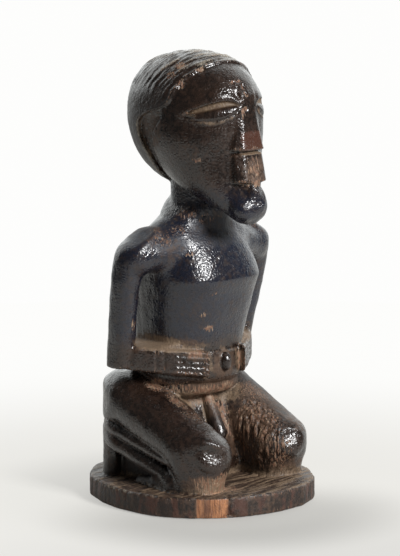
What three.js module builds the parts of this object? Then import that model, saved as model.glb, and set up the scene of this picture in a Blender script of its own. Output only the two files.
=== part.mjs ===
import * as THREE from "three";

// Millimetres. The figure kneels on a round base, faces -Y and has its right side at -X.
// The underside of the base is z = 0 and +Z is up.

const TRIANGLES = 9400;
const CELL = 1.2;

const BASE = { halfWidth: 41.3, halfDepth: 43.3, power: 2.25, turn: -14, height: 8, flats: 21 };
const BLOCK = { x: 1, y: -1, halfWidth: 38, halfDepth: 39, power: 2.1 };
const SKULL = { y: 3.2, z: 147, halfWidth: 21.5, halfDepth: 28.5, up: 22.25, down: 28.2, power: 2.2 };
const NECK = { y: 1.2, radius: 10.9 };
const SPINE = { half: 2.4, depth: 0.9 };
const EYE = { inner: [4.2, 151], outer: [19.4, 147], half: 3.6, groove: 0.95 };
const EAR_DEPTH = 2.6;
const HAIR_RISE = 0.75;
const SLIT = { top: 134.6, bottom: 133.4 };
const MOUTH_BOTTOM = 122.8;
const CHEST = 85.2;
const ELBOW = { x: 31, y: 11.5, bottom: 51.8 };
const HAND = { x: 9, y: -10, end: 9.4 };
const HIP = { x: 20.5, y: 16, z: 38.2, radius: 13.2 };
const KNEE = { x: 22, y: -19.5, z: 21.6, radius: 11.2, right: -2, left: 0 };

// Blends and ramps
const { abs, cos, exp, hypot, max, min, PI, sin, sqrt } = Math;

function join(a, b, k) {
  const h = min(max(0.5 + (0.5 * (b - a)) / k, 0), 1);
  return b + (a - b) * h - k * h * (1 - h);
}

function meet(a, b, k) {
  return -join(-a, -b, k);
}

function ramp(from, to, t) {
  const u = min(max((t - from) / (to - from), 0), 1);
  return u * u * (3 - 2 * u);
}

// A smooth line through rows of [t, value, value, ...], as a function of t
function curve(rows) {
  const last = rows.length - 1;
  const width = rows[0].length;
  const slopes = rows.map((row, i) => {
    const before = rows[max(i - 1, 0)];
    const after = rows[min(i + 1, last)];
    return row.map((_, k) => (after[k] - before[k]) / (after[0] - before[0]));
  });
  const values = new Array(width - 1);
  return (at) => {
    const t = min(max(at, rows[0][0]), rows[last][0]);
    let i = 0;
    while (i < last - 1 && t >= rows[i + 1][0]) i++;
    const h = rows[i + 1][0] - rows[i][0];
    const u = (t - rows[i][0]) / h;
    const a = (2 * u - 3) * u * u + 1;
    const b = ((u - 2) * u + 1) * u * h;
    const c = (u - 1) * u * u * h;
    for (let k = 1; k < width; k++) {
      const here = a * rows[i][k] + b * slopes[i][k];
      values[k - 1] = here + (1 - a) * rows[i + 1][k] + c * slopes[i + 1][k];
    }
    return values;
  };
}

// Solids, each as its distance from (x, y, z), negative inside
function ellipsoid(x, y, z, [cx, cy, cz], [rx, ry, rz]) {
  const u = (x - cx) / rx;
  const v = (y - cy) / ry;
  const w = (z - cz) / rz;
  const near = sqrt(u * u + v * v + w * w);
  const steep = sqrt((u / rx) ** 2 + (v / ry) ** 2 + (w / rz) ** 2);
  return (near * (near - 1)) / max(steep, 1e-6);
}

// A tapered round bar from a to b; a squeeze over 1 thins it along that axis
function bar(x, y, z, a, b, ra, rb, [sx, sy, sz] = [1, 1, 1]) {
  const dx = (b[0] - a[0]) * sx;
  const dy = (b[1] - a[1]) * sy;
  const dz = (b[2] - a[2]) * sz;
  const px = (x - a[0]) * sx;
  const py = (y - a[1]) * sy;
  const pz = (z - a[2]) * sz;
  const t = min(max((px * dx + py * dy + pz * dz) / (dx * dx + dy * dy + dz * dz), 0), 1);
  return sqrt((px - dx * t) ** 2 + (py - dy * t) ** 2 + (pz - dz * t) ** 2) - (ra + (rb - ra) * t);
}

function box(x, y, z, [cx, cy, cz], [hx, hy, hz], round) {
  const u = abs(x - cx) - hx + round;
  const v = abs(y - cy) - hy + round;
  const w = abs(z - cz) - hz + round;
  const out = sqrt(max(u, 0) ** 2 + max(v, 0) ** 2 + max(w, 0) ** 2);
  return out + min(max(u, v, w), 0) - round;
}

// A superellipse with half axes ru and rv
function oval(u, v, ru, rv, power) {
  const a = abs(u) / ru;
  const b = abs(v) / rv;
  const q = max(a ** power + b ** power, 1e-12) ** (1 / power);
  const g = q ** (1 - power) * sqrt((a ** (power - 1) / ru) ** 2 + (b ** (power - 1) / rv) ** 2);
  return (q - 1) / max(g, 0.6 / max(ru, rv));
}

// (u, v) as seen by a form that leans by deg about (cu, cv)
function lean(u, v, cu, cv, deg) {
  const a = (-deg * PI) / 180;
  const du = u - cu;
  const dv = v - cv;
  return [cu + du * cos(a) - dv * sin(a), cv + du * sin(a) + dv * cos(a)];
}

// Base: a low disc whose rim is hewn in flats
const FLATS = Array.from({ length: BASE.flats }, (_, i) => {
  const a = (2 * PI * (i + 0.32 * sin(2.4 * i + 0.7))) / BASE.flats;
  const m = BASE.power / (BASE.power - 1);
  const reach = (abs(BASE.halfWidth * cos(a)) ** m + abs(BASE.halfDepth * sin(a)) ** m) ** (1 / m);
  return [cos(a), sin(a), reach - 0.42 - 0.18 * sin(1.9 * i)];
});

function base(x0, y0, z) {
  const [x, y] = lean(x0, y0, 0, 0, BASE.turn);
  let d = oval(x, y, BASE.halfWidth, BASE.halfDepth, BASE.power);
  if (d > -4) for (const [c, s, reach] of FLATS) d = max(d, x * c + y * s - reach);
  return meet(d, meet(z - BASE.height, -z, 0.3), 1);
}

// Trunk: rows of z, middle y, half width, half depth, squareness
const TRUNK = curve([
  [40, 8, 19, 16.5, 2.4],
  [50, 7.5, 19.5, 18.3, 2.4],
  [58, 7, 19.8, 18.4, 2.5],
  [66, 6.5, 20.6, 19, 2.6],
  [76, 5.5, 21.8, 20.4, 2.6],
  [86, 5, 23.5, 19, 2.5],
  [94, 4.5, 25.5, 15.8, 2.3],
  [100, 4, 25, 12.8, 2.2],
  [108, 2.5, 16, 11.5, 2],
]);

// The breast comes forward to a level edge and falls back below it
function chest(x, y, z) {
  const flat = y > 4 ? 0.78 : 1;
  const up = min(max(z - CHEST, 0), 21);
  const [wide, deep] = [23 - 0.14 * up - 0.011 * up ** 2, 22.2 - 0.28 * up - 0.013 * up ** 2];
  const down = min(max(CHEST - z, 0), 16);
  const above = oval(x, y - 4, wide, flat * deep, 2.8);
  const below = oval(x, y - 4, 23 - 0.15 * down, flat * (22.2 - 0.46 * down), 2.8);
  return meet(meet(above, below, 0.8), meet(z - 105, 71 - z, 2), 2);
}

function trunk(x, y, z) {
  const [yc, rx, ry, power] = TRUNK(z);
  let d = oval(x, y - yc, rx, ry, power);
  // the shoulders fall away from the neck
  d = meet(d, (z - 106.3) * 0.867 + (x - 20) * 0.499, 3);
  d = meet(d, 40 - z, 3);
  d = join(d, chest(x, y, z), 1.2);
  // a groove down the spine
  const back = ramp(8, 14, y) * ramp(58, 68, z) * ramp(106, 97, z);
  return d + SPINE.depth * exp(-((x / SPINE.half) ** 2)) * back;
}

// Upper arm: rows of z, middle x, middle y, half width, half depth
const ARM = curve([
  [50, 31, 12.2, 4.7, 5.4],
  [60, 31.8, 11.1, 4.6, 5.3],
  [72, 33, 8.9, 4.6, 5.3],
  [84, 33.8, 6.5, 4.8, 5.6],
  [94, 32.8, 4.7, 5.6, 6.4],
  [104, 29, 3.8, 7, 7],
]);

function arm(x, y, z) {
  const [xc, yc, rx, ry] = ARM(z);
  let d = oval(x - xc, y - yc, rx, ry, 2.4);
  d = meet(d, (z - 98.9) * 0.867 + (x - 34.7) * 0.499, 3);
  return meet(d, ELBOW.bottom - z, 1);
}

// Forearm and hand: one flat band from the elbow to beside the navel
function forearm(x, y, z) {
  const dx = HAND.x - ELBOW.x;
  const dy = HAND.y - ELBOW.y;
  const long = hypot(dx, dy);
  const t = min(max(((x - ELBOW.x) * dx + (y - ELBOW.y) * dy) / long ** 2, 0), 1.1);
  const off = ((x - ELBOW.x) * dy - (y - ELBOW.y) * dx) / long;
  let d = abs(off + 1.6 * sin(PI * min(t, 1))) - (4.6 - 1.2 * t);
  d = meet(d, meet(z - (60.8 - 2.6 * t), 51.6 - 3.6 * t - z, 0.3), 2);
  d = meet(d, HAND.end - x, 0.4);
  return meet(d, x - 32.5, 2);
}

// Belly: rows of z, half width, half depth
const BELLY = curve([
  [42, 17.5, 15.5],
  [45, 20.5, 18],
  [48, 22, 19.6],
  [54, 22.6, 20],
  [60, 21, 19.6],
]);

function belly(x, y, z) {
  const [rx, ry] = BELLY(z);
  const behind = y > 7.5;
  let d = oval(x, y - 7.5, rx, behind ? 0.87 * ry : ry, 2.1);
  d = meet(d, meet(z - 57.5, 44.6 - z, 1.5), 2);
  // the web behind the forearm, with a sloping ledge on top
  let web = oval(x, y - 7.5, 27.5, behind ? 15.5 : 17, 2);
  web = meet(web, meet(z - 60.5 + (x - 22) * 0.25, 50 - z, 1.5), 2);
  return join(d, web, 1);
}

function upperBody(x0, y, z) {
  // the left shoulder is the narrower one
  const x = abs(x0) + (x0 > 0 ? 0.9 : 0) * ramp(84, 96, z) * ramp(10, 22, abs(x0));
  let d = join(trunk(x, y, z), bar(x, y, z, [6, 3, 102.6], [30.5, 4.5, 93.8], 6.4, 6.2), 4);
  d = join(d, arm(x, y, z), 2.5);
  d = join(d, bar(x, y, z, [14, -1.5, 98], [30.5, 1.5, 94], 6.5, 5.2), 3);
  const neck = oval(x, y - NECK.y, NECK.radius, NECK.radius, 2);
  d = join(d, meet(neck, meet(z - 128, 98 - z, 1), 1), 1.6);
  d = min(d, belly(x, y, z));
  d = join(d, forearm(x, y, z), 0.8);
  return min(d, ellipsoid(x0, y, z, [0.2, -12.4, 53], [2.5, 2.6, 3.7]));
}

// Legs, folded under the seat
function legs(x0, y, z) {
  const x = abs(x0);
  const knee = KNEE.y + (x0 < 0 ? KNEE.right : KNEE.left);
  const thigh = bar(
    x, y, z, [HIP.x, HIP.y, HIP.z], [KNEE.x, knee, KNEE.z], HIP.radius, KNEE.radius, [1, 1, 1.2],
  );
  let d = join(thigh, bar(x, y, z, [KNEE.x, knee + 0.5, 17], [KNEE.x, knee + 2, 8], 9.6, 10.2), 6);
  d = join(d, ellipsoid(x, y, z, [16, 19, 37], [17.5, 14.5, 12.5]), 2);
  // calf and shin show as two ridges below the thigh, above a recess
  const shin = bar(x, y, z, [30.2, 22, 24.6], [29, -14, 12], 3.4, 3.2);
  const calf = bar(x, y, z, [30.6, 22, 29.2], [30, -16, 18.2], 2.6, 2.2);
  const foot = box(x, y, z, [20.5, 24.8, 16.5], [8.5, 5.7, 11.5], 3);
  d = join(d, join(join(shin, calf, 0.3), foot, 2), 0.6);
  d = join(d, bar(x, y, z, [26, 6, 7.5], [28.5, -14, 9], 2.5, 4.5), 3);
  d = min(d, box(x, y, z, [0, 11.5, 19], [24, 13, 17], 4));
  d = min(d, box(x, y, z, [18.5, -4, 14], [5.5, 12, 11], 3));
  d = join(d, bar(x, y, z, [0, 6.5, 36.5], [0, -2, 12], 8.6, 8.6, [0.55, 1, 1]), 4);
  // toes bent under behind the feet
  d = join(d, box(x, y, z, [18.5, 28.5, 9.8], [8.6, 6.5, 3.6], 2.2), 1.2);
  // nothing stands out from the round block
  d = meet(d, oval(x0 - BLOCK.x, y - BLOCK.y, BLOCK.halfWidth, BLOCK.halfDepth, BLOCK.power), 1.5);
  return meet(d, 4 - z, 0.5);
}

// Head
function skull(x, y, z) {
  const high = z > SKULL.z;
  const t = high ? (z - SKULL.z) / SKULL.up : (SKULL.z - z) / SKULL.down;
  const power = high ? SKULL.power : 2;
  const rho = hypot(x / SKULL.halfWidth, (y - SKULL.y) / SKULL.halfDepth);
  const q = (rho ** power + max(t, 1e-6) ** power) ** (1 / power);
  const far = hypot(x, y - SKULL.y, z - SKULL.z);
  return ((q - 1) * far * 0.97) / max(q, 1e-3);
}

// Face and jaw: rows of z, front y, back y, half width, squareness
const FACE = curve([
  [105, -27, -15, 4, 2],
  [109, -27.4, -11, 6.4, 2],
  [115, -26.2, -1, 11.2, 2.1],
  [121, -25, 8, 15.4, 2.1],
  [130, -24.4, 16, 19, 2],
  [140, -24.4, 22, 21, 2],
  [150, -22.5, 24, 19, 2],
]);

function face(x, y, z) {
  const [front, back, half, power] = FACE(z);
  let d = oval(x, y - (front + back) / 2, half, (back - front) / 2, power);
  // the underside of the jaw rises to the nape
  d = meet(d, (108.5 - z + (y + 24) * 0.5) / 1.118, 1.2);
  return meet(d, z - 150, 1);
}

// A flat front whose sides first splay back at 45 degrees
function wedge(x, y, half, front, splay) {
  const side = max((abs(x) - half - (y - front)) / sqrt(2), abs(x) - half - splay);
  return meet(side, front - y, 0.6);
}

// Nose: it widens and comes forward down to the slit of the mouth
function nose(x, y, z) {
  const drop = min(max((150 - z) / 15.4, 0), 1);
  let d = wedge(x, y, 3.2 + 2 * drop, -24.9 - 2.7 * drop, 0.8 + 2 * drop);
  d = meet(d, meet(SLIT.top - z, (z - 155) * 0.8 - (y + 25) * 0.6, 0.3), 0.5);
  return meet(d, y + 15, 1);
}

// Mouth: a square block under the slit, which is shallow
function mouth(x, y, z) {
  const drop = min(max((SLIT.bottom - z) / 10.6, 0), 1);
  let d = wedge(x, y, 4.7 + 0.3 * drop, -26.9 - 2.1 * drop, 2.6);
  d = meet(d, meet(MOUTH_BOTTOM - z, z - SLIT.bottom, 0.3), 0.5);
  d = min(d, meet(wedge(x, y, 4.6, -25.4, 2.6), abs(z - 134) - 2, 0.3));
  return meet(d, y + 15, 1);
}

// How far the carving round the eye stands out of the face
function eye(x, z) {
  const [ax, az] = EYE.inner;
  const long = hypot(EYE.outer[0] - ax, EYE.outer[1] - az);
  const ux = (EYE.outer[0] - ax) / long;
  const uz = (EYE.outer[1] - az) / long;
  const s = ((x - ax) * ux + (z - az) * uz) / long;
  const h = (z - az) * ux - (x - ax) * uz;
  const full = min(max(1 - (2 * s - 1) ** 2, 0), 1);
  const half = EYE.half * full ** 0.62;
  const up = half * (0.95 - 0.25 * (s - 0.5));
  const down = half * (0.95 + 0.25 * (s - 0.5));
  const edge = h > 0 ? h - up : -h - down;
  const ends = ramp(-0.1, 0.06, s) * ramp(1.1, 0.92, s);
  const groove = exp(-((edge / EYE.groove) ** 2)) * ends;
  const ball = edge < 0 ? (1 - min(max(1 + edge / max(half, 0.3), 0), 1) ** 2) * full : 0;
  const brow = h > 0 ? exp(-(((edge - 3.2) / 2.6) ** 2)) * ends : 0;
  const slit = exp(-(((h - 0.3 * up) / 0.7) ** 2)) * full;
  return 0.8 * ball + 0.75 * brow - 0.95 * groove - 0.3 * slit;
}

// Ear: a hollow between the jaw and the hair; rows of z, front y, back y
const EAR = curve([
  [118, 6.8, 6.9],
  [124.6, 5.7, 8.9],
  [130, 5.4, 10],
  [134.5, 5.8, 11.8],
  [138, 5.4, 13.2],
  [141.3, 3.6, 14],
  [144.5, 1, 13],
  [147, -0.6, 9.8],
  [148.8, -0.6, 5],
  [150, -1, 0],
]);

function ear(y, z) {
  const [front, back] = EAR(z);
  const t = (y - front) / max(back - front, 0.5);
  const across = ramp(0, 0.28, t) * (1 - 0.6 * ramp(0.28, 0.93, t)) * ramp(1.06, 0.93, t);
  return across * ramp(117, 123, z) * ramp(150, 146, z) * min(max((back - front) / 4, 0), 1);
}

// Hair: its front edge, as rows of z, y
const HAIR = curve([
  [118, 6.9],
  [124.6, 8.9],
  [130, 10],
  [134.5, 11.8],
  [138, 13.2],
  [141.3, 14],
  [144.5, 13],
  [147, 9.8],
  [148.8, 5],
  [150.2, 0],
  [152, -3.6],
  [155, -6.2],
  [159, -8.6],
  [163, -11],
  [167, -13.5],
  [171, -16],
]);

function head(x, y, z) {
  const behind = y - (HAIR(z)[0] - 0.12 * x * ramp(150, 160, z));
  let d = skull(x, y, z) - HAIR_RISE * ramp(-0.7, 0.7, behind) * ramp(114, 119, z);
  d = join(d, face(x, y, z), 2);
  d += EAR_DEPTH * ear(y, z) * ramp(6, 10, abs(x));
  d -= eye(abs(x), z) * ramp(-4, -9, y);
  d = join(d, nose(x, y, z), 1);
  d = join(d, mouth(x, y, z), 0.5);
  const [cy, cz] = lean(y, z, -24, 114, 12);
  d = join(d, ellipsoid(x, cy, cz, [0, -21.6, 115.4], [6.6, 9.8, 8.4]), 3);
  return join(d, bar(abs(x), y, z, [0, -24.8, 113], [2.2, -24.8, 113], 5.2, 5.2), 2);
}

function figure(x, y, z) {
  let d = join(base(x, y, z), legs(x, y, z), 0.8);
  if (z > 36) d = join(d, upperBody(x, y, z), 1);
  if (z < 45) d = join(d, bar(x, y, z, [0, -2.6, 38.5], [0, -9.8, 25], 2.2, 2.8), 0.8);
  return z > 98 ? join(d, head(x, y, z), 1) : d;
}

// The surface is taken from a grid of cells, one corner per cell that it crosses
const LOW = [-45.3, -46.5, -1.5];
const STEPS = [76, 78, 144].map((n) => n + (4 - (n % 4)));
const COARSE = 4;
const CORNERS = Array.from({ length: 8 }, (_, c) => [c & 1, (c >> 1) & 1, c >> 2]);

function sampled() {
  const [nx, ny, nz] = STEPS.map((n) => n + 1);
  const field = new Float32Array(nx * ny * nz);
  const at = (i, j, k) => (k * ny + j) * nx + i;
  const value = (i, j, k) => figure(LOW[0] + i * CELL, LOW[1] + j * CELL, LOW[2] + k * CELL);
  const reach = CELL * COARSE * 1.8 + 1.5;
  const [cx, cy, cz] = STEPS.map((n) => n / COARSE);
  const rough = new Float32Array((cx + 1) * (cy + 1) * (cz + 1));
  const roughAt = (i, j, k) => (k * (cy + 1) + j) * (cx + 1) + i;
  for (let k = 0; k <= cz; k++)
    for (let j = 0; j <= cy; j++)
      for (let i = 0; i <= cx; i++) rough[roughAt(i, j, k)] = value(i * COARSE, j * COARSE, k * COARSE);
  for (let k = 0; k < cz; k++)
    for (let j = 0; j < cy; j++)
      for (let i = 0; i < cx; i++) {
        let near = false;
        for (let c = 0; c < 8; c++) {
          const [a, b, e] = CORNERS[c];
          near ||= abs(rough[roughAt(i + a, j + b, k + e)]) < reach;
        }
        const fill = rough[roughAt(i, j, k)];
        for (let c = 0; c <= COARSE; c++)
          for (let b = 0; b <= COARSE; b++)
            for (let a = 0; a <= COARSE; a++) {
              const [gi, gj, gk] = [i * COARSE + a, j * COARSE + b, k * COARSE + c];
              const n = at(gi, gj, gk);
              if (near) field[n] = value(gi, gj, gk);
              else if (!field[n]) field[n] = fill;
            }
      }
  return { field, at, size: [nx, ny, nz] };
}

// A cell's corners fall into one group inside and one outside, or the surface would touch itself there
const WHOLE = Array.from({ length: 256 }, (_, code) => {
  const one = (side) => {
    const corners = [0, 1, 2, 3, 4, 5, 6, 7].filter((c) => ((code >> c) & 1) === side);
    const seen = new Set(corners.slice(0, 1));
    for (const c of seen) for (const e of [c ^ 1, c ^ 2, c ^ 4]) if (corners.includes(e)) seen.add(e);
    return seen.size === corners.length;
  };
  return one(0) && one(1);
});

function settle({ field, at, size: [nx, ny, nz] }) {
  for (let again = true; again; ) {
    again = false;
    for (let k = 0; k < nz - 1; k++)
      for (let j = 0; j < ny - 1; j++)
        for (let i = 0; i < nx - 1; i++) {
          const cell = CORNERS.map(([a, b, c]) => at(i + a, j + b, k + c));
          const code = cell.reduce((sum, n, c) => (field[n] < 0 ? sum | (1 << c) : sum), 0);
          if (WHOLE[code]) continue;
          let nearest = -1;
          for (const n of cell) {
            if (field[n] >= 0 && (nearest < 0 || field[n] < field[nearest])) nearest = n;
          }
          field[nearest] = -0.02;
          again = true;
        }
  }
}

function surface() {
  const grid = sampled();
  settle(grid);
  const { field, at, size } = grid;
  const [nx, ny, nz] = size;
  const corner = new Int32Array(nx * ny * nz).fill(-1);
  const points = [];
  for (let k = 0; k < nz - 1; k++)
    for (let j = 0; j < ny - 1; j++)
      for (let i = 0; i < nx - 1; i++) {
        const f = CORNERS.map(([a, b, c]) => field[at(i + a, j + b, k + c)]);
        if (f.every((v) => v < 0) || f.every((v) => v >= 0)) continue;
        const sum = [0, 0, 0];
        let crossings = 0;
        for (let c = 0; c < 8; c++)
          for (let axis = 0; axis < 3; axis++) {
            const e = c | (1 << axis);
            if (e === c || f[c] < 0 === f[e] < 0) continue;
            const t = f[c] / (f[c] - f[e]);
            for (let m = 0; m < 3; m++) sum[m] += ((c >> m) & 1) + (m === axis ? t : 0);
            crossings++;
          }
        corner[at(i, j, k)] = points.length;
        points.push([i, j, k].map((g, m) => LOW[m] + (g + sum[m] / crossings) * CELL));
      }
  const faces = [];
  const strides = [1, nx, nx * ny];
  for (let k = 1; k < nz - 1; k++)
    for (let j = 1; j < ny - 1; j++)
      for (let i = 1; i < nx - 1; i++)
        for (let axis = 0; axis < 3; axis++) {
          const n = at(i, j, k);
          const here = field[n] < 0;
          if (here === field[n + strides[axis]] < 0) continue;
          const su = strides[(axis + 1) % 3];
          const sv = strides[(axis + 2) % 3];
          const ring = [n - su - sv, n - sv, n, n - su].map((m) => corner[m]);
          if (!here) ring.reverse();
          faces.push([ring[0], ring[1], ring[2]], [ring[0], ring[2], ring[3]]);
        }
  const skin = outermost(faces, points.length);
  for (const v of new Set(skin.flat())) settleOn(points[v]);
  return { points, faces: skin };
}

// Only the largest closed shell is kept, so no pocket is left sealed in the wood
function outermost(faces, count) {
  const parent = Int32Array.from({ length: count }, (_, v) => v);
  const root = (v) => {
    while (parent[v] !== v) v = parent[v] = parent[parent[v]];
    return v;
  };
  for (const [a, b, c] of faces) {
    parent[root(a)] = root(b);
    parent[root(b)] = root(c);
  }
  const sizes = new Map();
  for (const [a] of faces) sizes.set(root(a), (sizes.get(root(a)) ?? 0) + 1);
  const largest = [...sizes].reduce((a, b) => (b[1] > a[1] ? b : a))[0];
  return faces.filter(([a]) => root(a) === largest);
}

// A point is moved onto the surface, by no more than half a cell
function settleOn(p) {
  const start = [...p];
  const e = 0.05;
  for (let pass = 0; pass < 2; pass++) {
    const [x, y, z] = p;
    const d = figure(x, y, z);
    const gx = (figure(x + e, y, z) - figure(x - e, y, z)) / (2 * e);
    const gy = (figure(x, y + e, z) - figure(x, y - e, z)) / (2 * e);
    const gz = (figure(x, y, z + e) - figure(x, y, z - e)) / (2 * e);
    const g2 = max(gx * gx + gy * gy + gz * gz, 0.2);
    p[0] -= (d * gx) / g2;
    p[1] -= (d * gy) / g2;
    p[2] -= (d * gz) / g2;
  }
  const moved = hypot(p[0] - start[0], p[1] - start[1], p[2] - start[2]);
  if (moved <= CELL / 2) return;
  for (let m = 0; m < 3; m++) p[m] = start[m] + ((p[m] - start[m]) * CELL) / 2 / moved;
}

// Edges are drawn together, the one that changes the surface least first, until few triangles are left
function thinned({ points, faces }, most) {
  const quadrics = points.map(() => new Float64Array(10));
  const around = points.map(() => new Set());
  const alive = faces.map(() => true);
  const normal = (a, b, c) => {
    const [ux, uy, uz] = [b[0] - a[0], b[1] - a[1], b[2] - a[2]];
    const [vx, vy, vz] = [c[0] - a[0], c[1] - a[1], c[2] - a[2]];
    return [uy * vz - uz * vy, uz * vx - ux * vz, ux * vy - uy * vx];
  };
  faces.forEach((face, f) => {
    const [a, b, c] = face.map((v) => points[v]);
    const n = normal(a, b, c);
    const size = hypot(...n);
    for (const v of face) around[v].add(f);
    if (size < 1e-12) return;
    const [x, y, z] = n.map((m) => m / size);
    const w = -(x * a[0] + y * a[1] + z * a[2]);
    const terms = [x * x, x * y, x * z, x * w, y * y, y * z, y * w, z * z, z * w, w * w];
    for (const v of face) terms.forEach((t, i) => (quadrics[v][i] += (t * size) / 2));
  });
  const errorAt = (q, [x, y, z]) =>
    q[0] * x * x +
    2 * q[1] * x * y +
    2 * q[2] * x * z +
    2 * q[3] * x +
    q[4] * y * y +
    2 * q[5] * y * z +
    2 * q[6] * y +
    q[7] * z * z +
    2 * q[8] * z +
    q[9];
  const best = (q, a, b) => {
    const middle = a.map((v, m) => (v + b[m]) / 2);
    const options = [a, b, middle];
    const [xx, xy, xz, xw, yy, yz, yw, zz, zw] = q;
    const c0 = yy * zz - yz * yz;
    const c1 = xz * yz - xy * zz;
    const c2 = xy * yz - xz * yy;
    const det = xx * c0 + xy * c1 + xz * c2;
    const long = hypot(a[0] - b[0], a[1] - b[1], a[2] - b[2]);
    if (abs(det) > 1e-4 * (xx + yy + zz) ** 3) {
      const p = [
        -(c0 * xw + c1 * yw + c2 * zw) / det,
        -(c1 * xw + (xx * zz - xz * xz) * yw + (xy * xz - xx * yz) * zw) / det,
        -(c2 * xw + (xy * xz - xx * yz) * yw + (xx * yy - xy * xy) * zw) / det,
      ];
      if (hypot(p[0] - middle[0], p[1] - middle[1], p[2] - middle[2]) < long) options.push(p);
    }
    let found = null;
    for (const p of options) {
      const cost = max(errorAt(q, p), 0);
      if (!found || cost < found.cost) found = { cost, p };
    }
    found.cost += 2e-4 * long ** 3;
    return found;
  };
  const heap = [];
  const push = (item) => {
    let i = heap.push(item) - 1;
    while (i > 0 && heap[(i - 1) >> 1].cost > item.cost) {
      heap[i] = heap[(i - 1) >> 1];
      i = (i - 1) >> 1;
    }
    heap[i] = item;
  };
  const pop = () => {
    const top = heap[0];
    const item = heap.pop();
    if (!heap.length) return top;
    let i = 0;
    for (;;) {
      let c = 2 * i + 1;
      if (c >= heap.length) break;
      if (c + 1 < heap.length && heap[c + 1].cost < heap[c].cost) c++;
      if (heap[c].cost >= item.cost) break;
      heap[i] = heap[c];
      i = c;
    }
    heap[i] = item;
    return top;
  };
  const stamp = new Int32Array(points.length);
  const offer = (a, b) => {
    const q = quadrics[a].map((v, i) => v + quadrics[b][i]);
    push({ a, b, q, sa: stamp[a], sb: stamp[b], ...best(q, points[a], points[b]) });
  };
  const neighbours = (v) => {
    const found = new Set();
    for (const f of around[v]) for (const w of faces[f]) if (w !== v) found.add(w);
    return found;
  };
  points.forEach((_, v) => {
    for (const w of neighbours(v)) if (w > v) offer(v, w);
  });
  let left = faces.length;
  while (left > most && heap.length) {
    const { a, b, q, sa, sb, p } = pop();
    if (stamp[a] !== sa || stamp[b] !== sb) continue;
    const na = neighbours(a);
    const shared = [...neighbours(b)].filter((v) => na.has(v));
    if (shared.length !== 2 || shared.some((v) => around[v].size < 4)) continue;
    const sound = [a, b].every((v) =>
      [...around[v]].every((f) => {
        const face = faces[f];
        if (face.includes(a) && face.includes(b)) return true;
        const before = face.map((w) => points[w]);
        const after = face.map((w) => (w === v ? p : points[w]));
        const n0 = normal(...before);
        const n1 = normal(...after);
        const l0 = hypot(...n0);
        const l1 = hypot(...n1);
        const edges = after.reduce((sum, [x, y, z], m) => {
          const [nx, ny, nz] = after[(m + 1) % 3];
          return sum + (x - nx) ** 2 + (y - ny) ** 2 + (z - nz) ** 2;
        }, 0);
        const turn = (n0[0] * n1[0] + n0[1] * n1[1] + n0[2] * n1[2]) / (l0 * l1);
        return l1 > 0.07 * edges && (turn > 0.5 || l0 < 1e-3);
      }),
    );
    if (!sound) continue;
    points[a] = p;
    quadrics[a] = q;
    for (const f of around[b]) {
      if (faces[f].includes(a)) {
        alive[f] = false;
        left--;
        for (const v of faces[f]) if (v !== b) around[v].delete(f);
      } else {
        faces[f] = faces[f].map((v) => (v === b ? a : v));
        around[a].add(f);
      }
    }
    around[b].clear();
    stamp[b] = -1;
    stamp[a]++;
    for (const v of neighbours(a)) offer(a, v);
  }
  return { points, faces: faces.filter((_, f) => alive[f]) };
}

// The base's outline is centred on the axis and its underside lies flat
const { points, faces } = thinned(surface(), TRIANGLES);
const used = [...new Set(faces.flat())];
const middle = [0, 1].map((m) => {
  const values = used.map((v) => points[v][m]);
  return (values.reduce((a, b) => max(a, b)) + values.reduce((a, b) => min(a, b))) / 2;
});
const order = new Map(used.map((v, n) => [v, n]));
const position = new Float32Array(used.length * 3);
used.forEach((v, n) => {
  const [x, y, z] = points[v];
  position.set([x - middle[0], y - middle[1], abs(z) < 0.02 ? 0 : z], n * 3);
});

const geometry = new THREE.BufferGeometry();
geometry.setAttribute("position", new THREE.BufferAttribute(position, 3));
geometry.setIndex(faces.flat().map((v) => order.get(v)));
geometry.computeVertexNormals();

// Dark wood under an oily patina
const wood = new THREE.MeshStandardMaterial({ color: 0x33261f, roughness: 0.42, metalness: 0 });
const mesh = new THREE.Mesh(geometry, wood);
mesh.name = "power_figure";

const group = new THREE.Group();
group.add(mesh);
export default group;
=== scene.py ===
import math
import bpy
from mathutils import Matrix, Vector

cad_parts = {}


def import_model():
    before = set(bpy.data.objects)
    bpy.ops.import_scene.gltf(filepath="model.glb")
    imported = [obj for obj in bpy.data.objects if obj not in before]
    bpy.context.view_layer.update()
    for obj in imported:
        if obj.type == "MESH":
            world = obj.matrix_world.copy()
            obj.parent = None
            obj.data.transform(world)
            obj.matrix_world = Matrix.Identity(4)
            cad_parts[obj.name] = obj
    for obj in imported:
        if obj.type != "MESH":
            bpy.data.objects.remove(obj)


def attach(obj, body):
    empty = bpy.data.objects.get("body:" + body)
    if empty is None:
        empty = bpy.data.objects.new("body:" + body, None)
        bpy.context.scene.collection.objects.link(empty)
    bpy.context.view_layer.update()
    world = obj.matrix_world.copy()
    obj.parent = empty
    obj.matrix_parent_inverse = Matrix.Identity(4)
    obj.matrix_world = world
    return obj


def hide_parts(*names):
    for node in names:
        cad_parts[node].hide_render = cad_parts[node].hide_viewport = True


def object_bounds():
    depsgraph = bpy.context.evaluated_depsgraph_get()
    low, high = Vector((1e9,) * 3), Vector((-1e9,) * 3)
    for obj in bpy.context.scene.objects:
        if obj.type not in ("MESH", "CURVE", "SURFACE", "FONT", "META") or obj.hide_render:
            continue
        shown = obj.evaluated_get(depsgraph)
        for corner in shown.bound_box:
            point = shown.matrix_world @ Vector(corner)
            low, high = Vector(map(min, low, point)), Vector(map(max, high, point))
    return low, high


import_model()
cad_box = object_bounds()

from concurrent.futures import ThreadPoolExecutor

import bpy
import numpy as np
from mathutils import Vector

# The carving is worked out in millimetres. The figure faces -Y, its right side is at -X
# and its underside is at z = 0.
MM = 0.001
TRIANGLES = 190000
CELL = 0.55
THREADS = 4

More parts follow.
